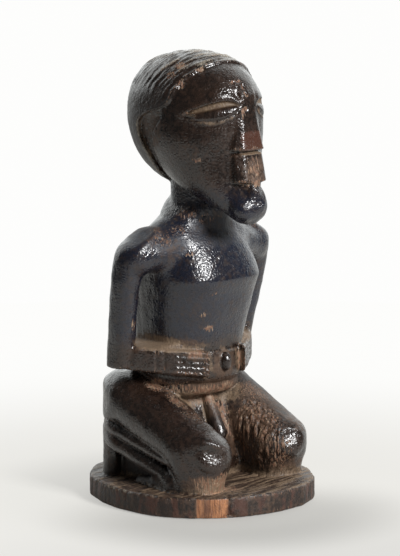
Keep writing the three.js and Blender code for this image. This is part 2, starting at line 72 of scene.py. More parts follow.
BASE = dict(half=(41.3, 43.3), power=2.25, turn=-14, height=8.0, flats=21)
BLOCK = dict(at=(1.0, -1.0), half=(38.0, 39.0), power=2.1)
SKULL = dict(y=3.2, z=147.0, half=(21.5, 28.5), up=22.25, down=28.2, power=2.2)
NECK = dict(y=1.2, radius=10.9)
SPINE = dict(half=2.4, depth=0.9)
EYE = dict(inner=(4.2, 151.0), outer=(19.4, 147.0), half=3.6, ball=0.34)
EAR_DEPTH = 2.6
HAIR_RISE = 0.75
SLIT = (133.4, 134.6)
MOUTH_BOTTOM = 122.8
CHEST = 85.2
ELBOW = (31.0, 11.5, 51.8)
HAND = (9.0, -10.0, 9.4)
HIP = ((20.5, 16.0, 38.2), 13.2)
KNEE = ((22.0, -19.5, 21.6), 11.2)
RIGHT_KNEE_LEAD = 2.0

# Bars: both ends and their radii
SHOULDER = ((6, 3, 102.6), (30.5, 4.5, 93.8), 6.4, 6.2)
COLLAR = ((14, -1.5, 98), (30.5, 1.5, 94), 6.5, 5.2)
SHIN = ((30.2, 22, 24.6), (29, -14, 12), 3.4, 3.2)
CALF = ((30.6, 22, 29.2), (30, -16, 18.2), 2.6, 2.2)
INSTEP = ((26, 6, 7.5), (28.5, -14, 9), 2.5, 4.5)
LAP = ((0, 6.5, 36.5), (0, -2, 12), 8.6, 8.6, (0.55, 1, 1))
PENIS = ((0, -2.6, 38.5), (0, -9.8, 25), 2.2, 2.8)
CHIN_EDGE = ((0, -24.8, 113), (2.2, -24.8, 113), 5.2, 5.2)

# Rounds: centre and half sizes
NAVEL = ((0.2, -12.4, 53), (2.5, 2.6, 3.7))
HAUNCH = ((16, 19, 37), (17.5, 14.5, 12.5))
CHIN = ((0, -21.6, 115.4), (6.6, 9.8, 8.4))

# Blocks: centre, half sizes and rounding
FOOT = ((20.5, 24.8, 16.5), (8.5, 5.7, 11.5), 3)
SEAT = ((0, 11.5, 19), (24, 13, 17), 4)
UNDER_THIGH = ((18.5, -4, 14), (5.5, 12, 11), 3)
TOES = ((18.5, 28.5, 9.8), (8.6, 6.5, 3.6), 2.2)

# Camera: 45 degrees to the figure's right and 9 degrees above
CAMERA = dict(azimuth=-45.0, elevation=9.1, distance=1.213, view_height=0.2107)
AIM = Vector((-0.00045, 0.00045, 0.08335))


def way_to(azimuth, elevation):
    """The way from the figure to a place beside and above it, by its angles in degrees."""
    a, e = math.radians(azimuth), math.radians(elevation)
    return Vector((math.sin(a) * math.cos(e), -math.cos(a) * math.cos(e), math.sin(e)))


def camera():
    data = bpy.data.cameras.new("camera")
    data.sensor_fit = "VERTICAL"
    data.lens = data.sensor_height * CAMERA["distance"] / CAMERA["view_height"]
    data.clip_start = 0.05
    data.clip_end = 20
    item = bpy.data.objects.new("camera", data)
    bpy.context.collection.objects.link(item)
    back = way_to(CAMERA["azimuth"], CAMERA["elevation"])
    item.location = AIM + back * CAMERA["distance"]
    item.rotation_euler = back.to_track_quat("Z", "Y").to_euler()
    bpy.context.scene.camera = item


camera()


# Blends and ramps
def join(a, b, k):
    h = np.clip(0.5 + 0.5 * (b - a) / k, 0, 1)
    return b + (a - b) * h - k * h * (1 - h)


def meet(a, b, k):
    return -join(-a, -b, k)


def ramp(start, end, t):
    u = np.clip((t - start) / (end - start), 0, 1)
    return u * u * (3 - 2 * u)


def bump(t, width):
    return np.exp(-((t / width) ** 2))


def curve(*rows):
    """A smooth line through rows of (t, value, value, ...), as a function of t."""
    table = np.array(rows, float)
    ts, values = table[:, 0], table[:, 1:]
    before = np.maximum(np.arange(len(ts)) - 1, 0)
    after = np.minimum(np.arange(len(ts)) + 1, len(ts) - 1)
    slopes = (values[after] - values[before]) / (ts[after] - ts[before])[:, None]

    def at(t):
        t = np.clip(t, ts[0], ts[-1])
        i = np.clip(np.searchsorted(ts, t, side="right") - 1, 0, len(ts) - 2)
        h = ts[i + 1] - ts[i]
        u = (t - ts[i]) / h
        a = (2 * u - 3) * u * u + 1
        b = ((u - 2) * u + 1) * u * h
        c = (u - 1) * u * u * h
        return [
            a * v[i] + b * s[i] + (1 - a) * v[i + 1] + c * s[i + 1] for v, s in zip(values.T, slopes.T)
        ]

    return at


# Solids, each as its distance from the points p = (x, y, z), negative inside
def ellipsoid(p, centre, half):
    q = [(p[i] - centre[i]) / half[i] for i in range(3)]
    near = np.sqrt(sum(v * v for v in q))
    steep = np.sqrt(sum((q[i] / half[i]) ** 2 for i in range(3)))
    return near * (near - 1) / np.maximum(steep, 1e-6)


def bar(p, a, b, ra, rb, squeeze=(1, 1, 1)):
    """A tapered round bar from a to b; a squeeze over 1 thins it along that axis."""
    q = [(p[i] - a[i]) * squeeze[i] for i in range(3)]
    d = [(b[i] - a[i]) * squeeze[i] for i in range(3)]
    t = np.clip(sum(q[i] * d[i] for i in range(3)) / sum(v * v for v in d), 0, 1)
    return np.sqrt(sum((q[i] - d[i] * t) ** 2 for i in range(3))) - (ra + (rb - ra) * t)


def box(p, centre, half, rounding):
    q = [np.abs(p[i] - centre[i]) - half[i] + rounding for i in range(3)]
    out = np.sqrt(sum(np.maximum(v, 0) ** 2 for v in q))
    return out + np.minimum(np.maximum(np.maximum(q[0], q[1]), q[2]), 0) - rounding


def oval(u, v, ru, rv, power):
    """A superellipse with half axes ru and rv."""
    a, b = np.abs(u) / ru, np.abs(v) / rv
    q = np.maximum(a**power + b**power, 1e-12) ** (1 / power)
    g = q ** (1 - power) * np.sqrt((a ** (power - 1) / ru) ** 2 + (b ** (power - 1) / rv) ** 2)
    return (q - 1) / np.maximum(g, 0.6 / np.maximum(ru, rv))


def lean(u, v, cu, cv, deg):
    """(u, v) as seen by a form that leans by deg about (cu, cv)."""
    a = math.radians(-deg)
    du, dv = u - cu, v - cv
    return cu + du * math.cos(a) - dv * math.sin(a), cv + du * math.sin(a) + dv * math.cos(a)


# Base: a low disc whose rim is hewn in flats
def rim_flats():
    power = BASE["power"]
    dual = power / (power - 1)
    for i in range(BASE["flats"]):
        a = 2 * math.pi * (i + 0.32 * math.sin(2.4 * i + 0.7)) / BASE["flats"]
        c, s = math.cos(a), math.sin(a)
        reach = (abs(BASE["half"][0] * c) ** dual + abs(BASE["half"][1] * s) ** dual) ** (1 / dual)
        yield c, s, reach - 0.42 - 0.18 * math.sin(1.9 * i)


def base(p):
    x, y = lean(p[0], p[1], 0, 0, BASE["turn"])
    d = oval(x, y, *BASE["half"], BASE["power"])
    for c, s, reach in rim_flats():
        d = np.maximum(d, x * c + y * s - reach)
    return meet(d, meet(p[2] - BASE["height"], -p[2], 0.3), 1)


# Trunk: rows of z, middle y, half width, half depth, squareness
TRUNK = curve(
    (40, 8, 19, 16.5, 2.4),
    (50, 7.5, 19.5, 18.3, 2.4),
    (58, 7, 19.8, 18.4, 2.5),
    (66, 6.5, 20.6, 19, 2.6),
    (76, 5.5, 21.8, 20.4, 2.6),
    (86, 5, 23.5, 19, 2.5),
    (94, 4.5, 25.5, 15.8, 2.3),
    (100, 4, 25, 12.8, 2.2),
    (108, 2.5, 16, 11.5, 2),
)


def chest(x, y, z):
    """The breast, which comes forward to a level edge and falls back below it."""
    flat = np.where(y > 4, 0.78, 1)
    up = np.clip(z - CHEST, 0, 21)
    above = oval(x, y - 4, 23 - 0.14 * up - 0.011 * up**2, flat * (22.2 - 0.28 * up - 0.013 * up**2), 2.8)
    down = np.clip(CHEST - z, 0, 16)
    below = oval(x, y - 4, 23 - 0.15 * down, flat * (22.2 - 0.46 * down), 2.8)
    return meet(meet(above, below, 0.8), meet(z - 105, 71 - z, 2), 2)


def trunk(x, y, z):
    yc, rx, ry, power = TRUNK(z)
    d = oval(x, y - yc, rx, ry, power)
    d = meet(d, (z - 106.3) * 0.867 + (x - 20) * 0.499, 3)
    d = meet(d, 40 - z, 3)
    d = join(d, chest(x, y, z), 1.2)
    back = ramp(8, 14, y) * ramp(58, 68, z) * ramp(106, 97, z)
    return d + SPINE["depth"] * bump(x, SPINE["half"]) * back


# Upper arm: rows of z, middle x, middle y, half width, half depth
ARM = curve(
    (50, 31, 12.2, 4.7, 5.4),
    (60, 31.8, 11.1, 4.6, 5.3),
    (72, 33, 8.9, 4.6, 5.3),
    (84, 33.8, 6.5, 4.8, 5.6),
    (94, 32.8, 4.7, 5.6, 6.4),
    (104, 29, 3.8, 7, 7),
)


def arm(x, y, z):
    xc, yc, rx, ry = ARM(z)
    d = oval(x - xc, y - yc, rx, ry, 2.4)
    d = meet(d, (z - 98.9) * 0.867 + (x - 34.7) * 0.499, 3)
    return meet(d, ELBOW[2] - z, 1)


def along_forearm(x, y):
    """How far from elbow to hand and outside the band's middle, and the band's top and bottom."""
    dx, dy = HAND[0] - ELBOW[0], HAND[1] - ELBOW[1]
    size = math.hypot(dx, dy)
    t = np.clip(((x - ELBOW[0]) * dx + (y - ELBOW[1]) * dy) / size**2, 0, 1.1)
    off = ((x - ELBOW[0]) * dy - (y - ELBOW[1]) * dx) / size
    return t, off + 1.6 * np.sin(np.pi * np.minimum(t, 1)), 60.8 - 2.6 * t, 51.6 - 3.6 * t


def forearm(x, y, z):
    t, off, top, low = along_forearm(x, y)
    d = np.abs(off) - (4.6 - 1.2 * t)
    d = meet(d, meet(z - top, low - z, 0.3), 2)
    d = meet(d, HAND[2] - x, 0.4)
    return meet(d, x - 32.5, 2)


# Belly: rows of z, half width, half depth
BELLY = curve((42, 17.5, 15.5), (45, 20.5, 18), (48, 22, 19.6), (54, 22.6, 20), (60, 21, 19.6))


def belly(x, y, z):
    rx, ry = BELLY(z)
    behind = y > 7.5
    d = oval(x, y - 7.5, rx, np.where(behind, 0.87, 1) * ry, 2.1)
    d = meet(d, meet(z - 57.5, 44.6 - z, 1.5), 2)
    web = oval(x, y - 7.5, 27.5, np.where(behind, 15.5, 17), 2)
    web = meet(web, meet(z - 60.5 + (x - 22) * 0.25, 50 - z, 1.5), 2)
    return join(d, web, 1)


def upper_body(p):
    x, y, z = np.abs(p[0]), p[1], p[2]
    # the left shoulder is the narrower one
    x = x + np.where(p[0] > 0, 0.9, 0) * ramp(84, 96, z) * ramp(10, 22, x)
    q = (x, y, z)
    d = join(trunk(x, y, z), bar(q, *SHOULDER), 4)
    d = join(d, arm(x, y, z), 2.5)
    d = join(d, bar(q, *COLLAR), 3)
    neck = oval(x, y - NECK["y"], NECK["radius"], NECK["radius"], 2)
    d = join(d, meet(neck, meet(z - 128, 98 - z, 1), 1), 1.6)
    d = np.minimum(d, belly(x, y, z))
    d = join(d, forearm(x, y, z), 0.8)
    return np.minimum(d, ellipsoid(p, *NAVEL))


def legs(p):
    x, y, z = np.abs(p[0]), p[1], p[2]
    q = (x, y, z)
    lead = np.where(p[0] < 0, -RIGHT_KNEE_LEAD, 0.0)
    (hx, hy, hz), hr = HIP
    (kx, ky, kz), kr = KNEE
    ky = ky + lead
    d = bar(q, (hx, hy, hz), (kx, ky, kz), hr, kr, (1, 1, 1.2))
    d = join(d, bar(q, (kx, ky + 0.5, 17), (kx, ky + 2, 8), 9.6, 10.2), 6)
    d = join(d, ellipsoid(q, *HAUNCH), 2)
    d = join(d, join(join(bar(q, *SHIN), bar(q, *CALF), 0.3), box(q, *FOOT), 2), 0.6)
    d = join(d, bar(q, *INSTEP), 3)
    d = np.minimum(d, box(q, *SEAT))
    d = np.minimum(d, box(q, *UNDER_THIGH))
    d = join(d, bar(q, *LAP), 4)
    d = join(d, box(q, *TOES), 1.2)
    block = oval(p[0] - BLOCK["at"][0], y - BLOCK["at"][1], *BLOCK["half"], BLOCK["power"])
    return meet(meet(d, block, 1.5), 4 - z, 0.5)


# Head
def skull(x, y, z):
    high = z > SKULL["z"]
    t = np.where(high, (z - SKULL["z"]) / SKULL["up"], (SKULL["z"] - z) / SKULL["down"])
    power = np.where(high, SKULL["power"], 2.0)
    rho = np.hypot(x / SKULL["half"][0], (y - SKULL["y"]) / SKULL["half"][1])
    q = (rho**power + np.maximum(t, 1e-6) ** power) ** (1 / power)
    far = np.sqrt(x**2 + (y - SKULL["y"]) ** 2 + (z - SKULL["z"]) ** 2)
    return (q - 1) * far * 0.97 / np.maximum(q, 1e-3)


# Face and jaw: rows of z, front y, back y, half width, squareness
FACE = curve(
    (105, -27, -15, 4, 2),
    (109, -27.4, -11, 6.4, 2),
    (115, -26.2, -1, 11.2, 2.1),
    (121, -25, 8, 15.4, 2.1),
    (130, -24.4, 16, 19, 2),
    (140, -24.4, 22, 21, 2),
    (150, -22.5, 24, 19, 2),
)


def face(x, y, z):
    front, back, half, power = FACE(z)
    d = oval(x, y - (front + back) / 2, half, (back - front) / 2, power)
    d = meet(d, (108.5 - z + (y + 24) * 0.5) / 1.118, 1.2)
    return meet(d, z - 150, 1)


def wedge(x, y, half, front, splay):
    """A flat front whose sides first splay back at 45 degrees."""
    side = np.maximum((np.abs(x) - half - (y - front)) / math.sqrt(2), np.abs(x) - half - splay)
    return meet(side, front - y, 0.6)


def nose(x, y, z):
    drop = np.clip((150 - z) / 15.4, 0, 1)
    d = wedge(x, y, 3.2 + 2 * drop, -24.9 - 2.7 * drop, 0.8 + 2 * drop)
    d = meet(d, meet(SLIT[1] - z, (z - 155) * 0.8 - (y + 25) * 0.6, 0.3), 0.5)
    return meet(d, y + 15, 1)


def mouth(x, y, z):
    drop = np.clip((SLIT[0] - z) / 10.6, 0, 1)
    d = wedge(x, y, 4.7 + 0.3 * drop, -26.9 - 2.1 * drop, 2.6)
    d = meet(d, meet(MOUTH_BOTTOM - z, z - SLIT[0], 0.3), 0.5)
    # the slit is shallow
    d = np.minimum(d, meet(wedge(x, y, 4.6, -25.4, 2.6), np.abs(z - 134) - 2, 0.3))
    return meet(d, y + 15, 1)


def eye_place(x, z):
    """Along the eye, above its axis, how open it is, and its top, its bottom and the ball's top."""
    (ax, az), (bx, bz) = EYE["inner"], EYE["outer"]
    size = math.hypot(bx - ax, bz - az)
    ux, uz = (bx - ax) / size, (bz - az) / size
    s = ((x - ax) * ux + (z - az) * uz) / size
    h = (z - az) * ux - (x - ax) * uz
    full = np.clip(1 - (2 * s - 1) ** 2, 0, 1)
    half = EYE["half"] * full**0.62
    up = half * (0.95 - 0.25 * (s - 0.5))
    down = half * (0.95 + 0.25 * (s - 0.5))
    return s, h, full, up, down, EYE["ball"] * up


def eye(x, z):
    """How far the carving round the eye stands out of the face."""
    s, h, full, up, down, ball_top = eye_place(x, z)
    ends = ramp(-0.1, 0.06, s) * ramp(1.1, 0.92, s)
    # under the brow's sharp edge a hollow lid, then the long eyeball and the thin rim of the lower lid
    brow = bump(h - up - 1.6, 1.7) * (h > up - 0.3) * ends
    lid = ramp(up + 0.25, up - 0.35, h) * ramp(ball_top - 0.35, ball_top + 0.3, h) * full**0.4
    across = (h - ball_top) / np.maximum(ball_top + down, 0.4)
    ball = np.clip(1 - (2 * across + 1) ** 2, 0, 1) * full**0.6
    crease = bump(h + down - 0.55, 0.4) * full**0.5
    rim = bump(h + down + 0.15, 0.4) * ends
    return 0.7 * brow - 1.15 * lid + 0.75 * ball - 0.45 * crease + 0.3 * rim


# Ear: a hollow between the jaw and the hair; rows of z, front y, back y
EAR = curve(
    (118, 6.8, 6.9),
    (124.6, 5.7, 8.9),
    (130, 5.4, 10),
    (134.5, 5.8, 11.8),
    (138, 5.4, 13.2),
    (141.3, 3.6, 14),
    (144.5, 1, 13),
    (147, -0.6, 9.8),
    (148.8, -0.6, 5),
    (150, -1, 0),
)


def ear(y, z):
    front, back = EAR(z)
    t = (y - front) / np.maximum(back - front, 0.5)
    across = ramp(0, 0.28, t) * (1 - 0.6 * ramp(0.28, 0.93, t)) * ramp(1.06, 0.93, t)
    return across * ramp(117, 123, z) * ramp(150, 146, z) * np.clip((back - front) / 4, 0, 1)


# Hair: its front edge, as rows of z, y
HAIR = curve(
    (118, 6.9),
    (124.6, 8.9),
    (130, 10),
    (134.5, 11.8),
    (138, 13.2),
    (141.3, 14),
    (144.5, 13),
    (147, 9.8),
    (148.8, 5),
    (150.2, 0),
    (152, -3.6),
    (155, -6.2),
    (159, -8.6),
    (163, -11),
    (167, -13.5),
    (171, -16),
)


def behind_hairline(x, y, z):
    return y - (HAIR(z)[0] - 0.12 * x * ramp(150, 160, z))


def head(p):
    x, y, z = p
    behind = behind_hairline(x, y, z)
    d = skull(x, y, z) - HAIR_RISE * ramp(-0.7, 0.7, behind) * ramp(114, 119, z)
    d = join(d, face(x, y, z), 2)
    d = d + EAR_DEPTH * ear(y, z) * ramp(6, 10, np.abs(x))
    d = d - eye(np.abs(x), z) * ramp(-4, -9, y) * ramp(16, 6, x)
    d = join(d, nose(x, y, z), 1)
    d = join(d, mouth(x, y, z), 0.5)
    cy, cz = lean(y, z, -24, 114, 12)
    d = join(d, ellipsoid((x, cy, cz), *CHIN), 3)
    return join(d, bar((np.abs(x), y, z), *CHIN_EDGE), 2)


def where(mask, p, d, form, k):
    """Joins form to d where the mask holds, so that each form is worked out only near itself."""
    if mask.any():
        d[mask] = join(d[mask], form([v[mask] for v in p]), k)
    return d


def figure(p):
    z = p[2]
    d = np.full(z.shape, 50.0)
    d = where(z < 62, p, d, lambda q: join(base(q), legs(q), 0.8), 1e-6)
    d = where(z > 36, p, d, upper_body, 1)
    d = where(z < 45, p, d, lambda q: bar(q, *PENIS), 0.8)
    return where(z > 98, p, d, head, 1)


def spread(work, *columns):
    """Does the work on slices of the columns at once and puts the slices together."""
    size = max(1, -(-len(columns[0]) // (THREADS * 8)))
    slices = [slice(i, i + size) for i in range(0, len(columns[0]), size)]
    with ThreadPoolExecutor(THREADS) as pool:
        return np.concatenate(list(pool.map(lambda s: work(*[c[s] for c in columns]), slices)))


def distance(points):
    return spread(lambda q: figure(list(q.T)), points)


# The surface is taken from a grid of cells, with one corner for each cell that it crosses
LOW = np.array((-46.0, -48.0, -3.0))
HIGH = np.array((46.0, 48.0, 174.0))
CORNERS = [(i, j, k) for k in (0, 1) for j in (0, 1) for i in (0, 1)]


def at_corners(field):
    """The field at each of the eight corners of every cell."""
    size = [s - 1 for s in field.shape]
    return [field[i : size[0] + i, j : size[1] + j, k : size[2] + k] for i, j, k in CORNERS]


def neighbours(field, axis):
    """The field without its last and without its first layer along an axis."""
    turned = np.moveaxis(field, axis, 0)
    return np.moveaxis(turned[:-1], 0, axis), np.moveaxis(turned[1:], 0, axis)


def enlarged(field, factor, shape):
    """Every cell of the field as a block of cells, cut to the shape."""
    wide = field.repeat(factor, 0).repeat(factor, 1).repeat(factor, 2)
    return wide[: shape[0], : shape[1], : shape[2]]


def blocks(near, factor, shape):
    """The grid points of every block that is near the surface."""
    wide = enlarged(near, factor, shape)
    grown = np.zeros(shape, bool)
    grown[: wide.shape[0], : wide.shape[1], : wide.shape[2]] = wide
    for axis in range(3):
        lower, upper = neighbours(grown, axis)
        upper |= lower.copy()
    return grown


def sampled():
    """Distances on a grid, exact near the surface and rough away from it."""
    steps = (np.ceil((HIGH - LOW) / (CELL * 8)) * 8).astype(int)
    field = None
    for factor in (8, 2, 1):
        shape = tuple(steps // factor + 1)
        step = CELL * factor
        if field is None:
            wanted = np.ones(shape, bool)
            field = np.zeros(shape, np.float32)
        else:
            ratio = last // factor
            near = np.minimum.reduce(at_corners(np.abs(field))) < CELL * last * 1.6 + 0.3
            wanted = blocks(near, ratio, shape)
            field = enlarged(field, ratio, shape).copy()
        index = np.argwhere(wanted)
        field[wanted] = distance(LOW + index * step)
        last = factor
    return field


def whole_cells():
    """For each pattern of corners inside, whether inside and outside both hang together."""
    whole = np.zeros(256, bool)
    for code in range(256):
        ok = True
        for side in (0, 1):
            corners = [c for c in range(8) if (code >> c) & 1 == side]
            seen = corners[:1]
            for c in seen:
                seen += [e for e in (c ^ 1, c ^ 2, c ^ 4) if e in corners and e not in seen]
            ok = ok and len(seen) == len(corners)
        whole[code] = ok
    return whole


def settled(field):
    """Fills the corner nearest the surface in each cell where the surface would touch itself."""
    whole = whole_cells()
    for _ in range(20):
        code = np.zeros([s - 1 for s in field.shape], np.uint8)
        for c, part in enumerate(at_corners(field < 0)):
            code |= part.astype(np.uint8) << c
        broken = np.argwhere(~whole[code])
        if not len(broken):
            break
        corners = broken[:, None, :] + np.array(CORNERS)[None]
        values = field[tuple(corners.transpose(2, 0, 1))]
        values = np.where(values < 0, 1e9, values)
        nearest = corners[np.arange(len(corners)), values.argmin(1)]
        field[tuple(nearest.T)] = -0.01
    return field


def nets(field):
    """The surface of the field as points and quads."""
    inside = field < 0
    count = sum(part.astype(np.int8) for part in at_corners(inside))
    crossed = np.argwhere((count > 0) & (count < 8))
    number = np.full(count.shape, -1, np.int32)
    number[tuple(crossed.T)] = np.arange(len(crossed))
    total = np.zeros((len(crossed), 3))
    crossings = np.zeros(len(crossed))
    for a in CORNERS:
        for axis in range(3):
            if a[axis]:
                continue
            b = list(a)
            b[axis] = 1
            fa = field[tuple((crossed + a).T)].astype(float)
            fb = field[tuple((crossed + b).T)].astype(float)
            crosses = (fa < 0) != (fb < 0)
            t = np.where(crosses, fa / np.where(fa == fb, 1, fa - fb), 0)
            total += np.where(crosses[:, None], np.array(a) + (np.array(b) - a) * t[:, None], 0)
            crossings += crosses
    points = LOW + (crossed + total / crossings[:, None]) * CELL
    quads = []
    for axis in range(3):
        u, v = (axis + 1) % 3, (axis + 2) % 3
        a, b = neighbours(inside, axis)
        for outward, mask in ((True, a & ~b), (False, ~a & b)):
            at = np.argwhere(mask)
            ring = []
            for du, dv in ((-1, -1), (0, -1), (0, 0), (-1, 0)):
                q = at.copy()
                q[:, u] += du
                q[:, v] += dv
                ring.append(number[tuple(q.T)])
            quads.append(np.stack(ring if outward else ring[::-1], 1))
    return points, np.concatenate(quads)


def gradient(points, reach=0.06):
    """The way out of the surface at each point."""
    steps = np.eye(3) * reach

    def work(q):
        columns = [figure(list((q + step).T)) - figure(list((q - step).T)) for step in steps]
        return np.stack(columns, 1) / (2 * reach)

    return spread(work, points)


def onto_surface(points, passes=2):
    start = points.copy()
    for _ in range(passes):
        g = gradient(points)
        d = distance(points)
        points = points - g * (d / np.maximum((g * g).sum(1), 0.2))[:, None]
    moved = points - start
    far = np.linalg.norm(moved, axis=1)
    return start + moved * np.minimum(1, 0.5 * CELL / np.maximum(far, 1e-9))[:, None]


# Noise
class Noise:
    """Smooth noise in about -1 to 1, with one cell of the given size in mm along each axis."""

    def __init__(self, seed, size):
        rng = np.random.default_rng(seed)
        self.order = rng.permutation(256)
        ways = rng.normal(size=(256, 3))
        self.ways = ways / np.linalg.norm(ways, axis=1, keepdims=True)
        self.size = size if isinstance(size, tuple) else (size,) * 3

    def hashed(self, i, j, k):
        a = self.order[i & 255]
        b = self.order[(a + j) & 255]
        return self.order[(b + k) & 255]

    def cells(self, p):
        q = [p[i] / self.size[i] + 40 for i in range(3)]
        return q, [np.floor(v).astype(np.int64) for v in q]

    def __call__(self, p):
        q, cell = self.cells(p)
        part = [v - c for v, c in zip(q, cell)]
        fade = [t * t * t * (t * (6 * t - 15) + 10) for t in part]
        total = 0
        for corner in CORNERS:
            way = self.ways[self.hashed(*[cell[i] + corner[i] for i in range(3)])]
            dot = sum(way[:, i] * (part[i] - corner[i]) for i in range(3))
            weight = 1
            for i in range(3):
                weight = weight * (fade[i] if corner[i] else 1 - fade[i])
            total = total + weight * dot
        return total * 1.7

    def nearest(self, p):
        """How far the nearest of the scattered cut marks is, in cells."""
        q, cell = self.cells(p)
        best = np.full(len(q[0]), 9.0)
        for step in np.ndindex(3, 3, 3):
            n = self.hashed(*[cell[i] + step[i] - 1 for i in range(3)])
            way = self.ways[n] * 0.45
            far = sum((cell[i] + step[i] - 0.5 + way[:, i] - q[i]) ** 2 for i in range(3))
            best = np.minimum(best, far)
        return np.sqrt(best)


def blob(p, centre, half):
    """1 at the centre, fading to 0 at the half sizes."""
    r = sum(((p[i] - centre[i]) / half[i]) ** 2 for i in range(3))
    return np.clip(1 - r, 0, 1)


LARGE = Noise(1, 15.0)
PATCH = Noise(2, 3.2)
MOTTLE = Noise(3, 1.5)
SPECK = Noise(4, 0.8)
GRAIN = Noise(5, (0.8, 0.8, 9.0))
CUTS = Noise(6, (5.0, 5.0, 7.0))
SPLINTER = Noise(7, (1.0, 1.0, 7.0))
SPLIT = Noise(8, (1.2, 1.2, 10.0))
COMB = Noise(9, (1.5, 11.0, 8.0))
CHIP = Noise(10, 2.0)
STROKE = Noise(11, 1.0)
CHATTER = Noise(12, (1.3, 1.3, 16.0))
CRACK = (-22.6, -37.0)
ORANGE_FACET = math.atan2(-33.5, -27.8)
TOE_ROW = dict(first=10.2, pitch=3.4, from_y=27)
SCUFFED_RIM = (-38, 4, 8)
TORN = ((13, -18, 26), (8, 13, 17))
NICK = ((-18.3, -8.2, 54.4), (1.0, 2, 0.9))
FRAYED = (
    ((-24, -3.7, 101), (4.5, 4.5, 3.4)),
    ((-18, -4.5, 104), (5.5, 4, 2.4)),
    ((-11.5, -4, 110), (5, 5.5, 3)),
    ((-6, -8.5, 107.6), (4, 4, 2.4)),
    ((12, -6, 108), (5, 4, 3)),
)
CHIPPED = (
    ((-4.6, -20.5, 159.6), (1.6, 2, 0.8)),
    ((-1.7, -20.9, 160.0), (1.6, 2, 0.7)),
    ((-0.7, -22.4, 158.0), (0.8, 2, 1.5)),
    ((-1.1, -24.3, 155.4), (1.0, 2, 1.4)),
    ((-2.0, -25.0, 150.0), (1.2, 2, 1.1)),
    ((-11.3, -10.4, 164.2), (3.5, 1.2, 1.2)),
    ((-17.5, -6.7, 159.2), (2.2, 1.6, 2.6)),
)
# facets of the knees, the chin and the brow: centre, half sizes, the way they are turned, by how much
FACETS = (
    ((-25.3, -30.2, 21.6), (6, 6, 5.5), (0.63, -0.3, 0.71), 0.48),
    ((18.6, -30.6, 21.1), (6, 6, 6), (-0.1, 0.1, 0.99), 0.35),
    ((-5.3, -28.8, 114.3), (7, 7, 7), (0.64, -0.25, 0.73), 0.42),
    ((-1.0, -31.0, 118.3), (4.5, 4.5, 4.5), (0.86, 0.0, -0.5), 0.4),
    ((-9.1, -22.0, 155.5), (7, 7, 4), (0.22, -0.65, -0.72), 0.18),
)


def most(p, spots):
    return np.maximum.reduce([blob(p, *spot) for spot in spots])


def torn_at(p):
    left = blob(p, *TORN)
    return ramp(0.0, 0.5, left + 0.12 * PATCH(p) * (left > 0))


def frayed_at(p):
    return ramp(0.05, 0.6, most(p, FRAYED))


def base_share(z):
    return ramp(9.2, 8.6, z)


def hair_share(behind, z):
    return ramp(-0.5, 1.0, behind) * ramp(118, 124, z)


def combed(p):
    """Streaks that run along the hair's front edge."""
    x, y, z = p
    return COMB((behind_hairline(x, y, z), x + z, x - z))


def fingers(p):
    """Grooves between the fingers of both hands, and two cuts across each wrist."""
    x, y, z = np.abs(p[0]), p[1], p[2]
    t, off, top, low = along_forearm(x, y)
    front = (y < 0) & (z > low - 1) & (z < top + 1) & (np.abs(off) < 6)
    row = (z - low) / (top - low) * 5
    groove = bump(row - np.round(row), 0.19) * (np.round(row) >= 1) * (np.round(row) <= 4)
    hand = ramp(0.64, 0.7, t)
    cuts = bump(t - 0.52, 0.016) + bump(t - 0.42, 0.016)
    depth = 0.6 * groove * hand + 0.5 * cuts * ramp(low, low + 1.5, z) * ramp(top, top - 1.5, z)
    return -depth * front * ramp(9.0, 9.8, x)


def tilted(p, at, half, way, slope):
    """Turns the surface near a spot toward the given way."""
    return -slope * sum((p[i] - at[i]) * way[i] for i in range(3)) * blob(p, at, half)


def strokes(p):
    """The blade's slanting strokes over the top of the base."""
    x, y, z = p
    along, across = 0.994 * x + 0.111 * y, -0.111 * x + 0.994 * y
    return STROKE((along / 16, across / 1.5, z * 0)) + 0.6 * STROKE((along / 10 + 7, across / 0.8, z * 0))


def base_relief(p, n):
    x, y, z = p
    on_base = base_share(z)
    top = on_base * ramp(0.6, 0.9, n[2])
    rim = on_base * ramp(0.7, 0.3, np.abs(n[2]))
    d = top * (0.3 * strokes(p) + 0.3 * LARGE((x * 2, y * 2, z)))
    d = d + rim * (0.2 * CHATTER(p) + 0.12 * PATCH(p))
    edge = on_base * ramp(6.0, 7.6, z)
    scuffed = 0.35 + 0.65 * blob(p, SCUFFED_RIM, (11, 26, 4))
    d = d - 0.7 * edge * scuffed * ramp(0.0, 0.6, CHIP(p)) * ramp(0.98, 0.8, n[2])
    # a crack with a notch at its foot
    size = math.hypot(*CRACK)
    side = (x * CRACK[1] - y * CRACK[0]) / size
    out = (x * CRACK[0] + y * CRACK[1]) / size
    width = 0.28 + 1.5 * ramp(4.5, 0, z) + 0.12 * MOTTLE(p)
    crack = bump(side + 0.25 * np.sin(z * 1.3), width) * ramp(size - 7, size - 1.5, out) * on_base
    return d - crack * (0.75 + 0.9 * ramp(3, 0, z))


def hair_relief(p):
    x, y, z = p
    behind = behind_hairline(x, y, z)
    hair = hair_share(behind, z)
    streaks = combed(p)
    deep = ramp(0.2, 0.7, combed((x + 30, y, z)))
    crown = hair * ramp(152, 162, z) * (0.45 + 0.55 * ramp(-22, -6, x))
    d = crown * (0.34 * streaks - 0.5 * deep) + hair * 0.1 * streaks
    ragged = behind + 0.5 * PATCH(p)
    edge = bump(ragged - 0.7, 0.7) + 0.7 * bump(ragged - 3.6, 0.7) * ramp(152, 155, z)
    d = d + 0.38 * edge * ramp(146, 152, z) * ramp(171, 166, z)
    # the ear's thin rim
    rim = bump(behind - 0.3, 0.55) * ramp(120, 126, z) * ramp(152, 148, z) * ramp(6, 10, np.abs(x))
    return d + 0.4 * rim


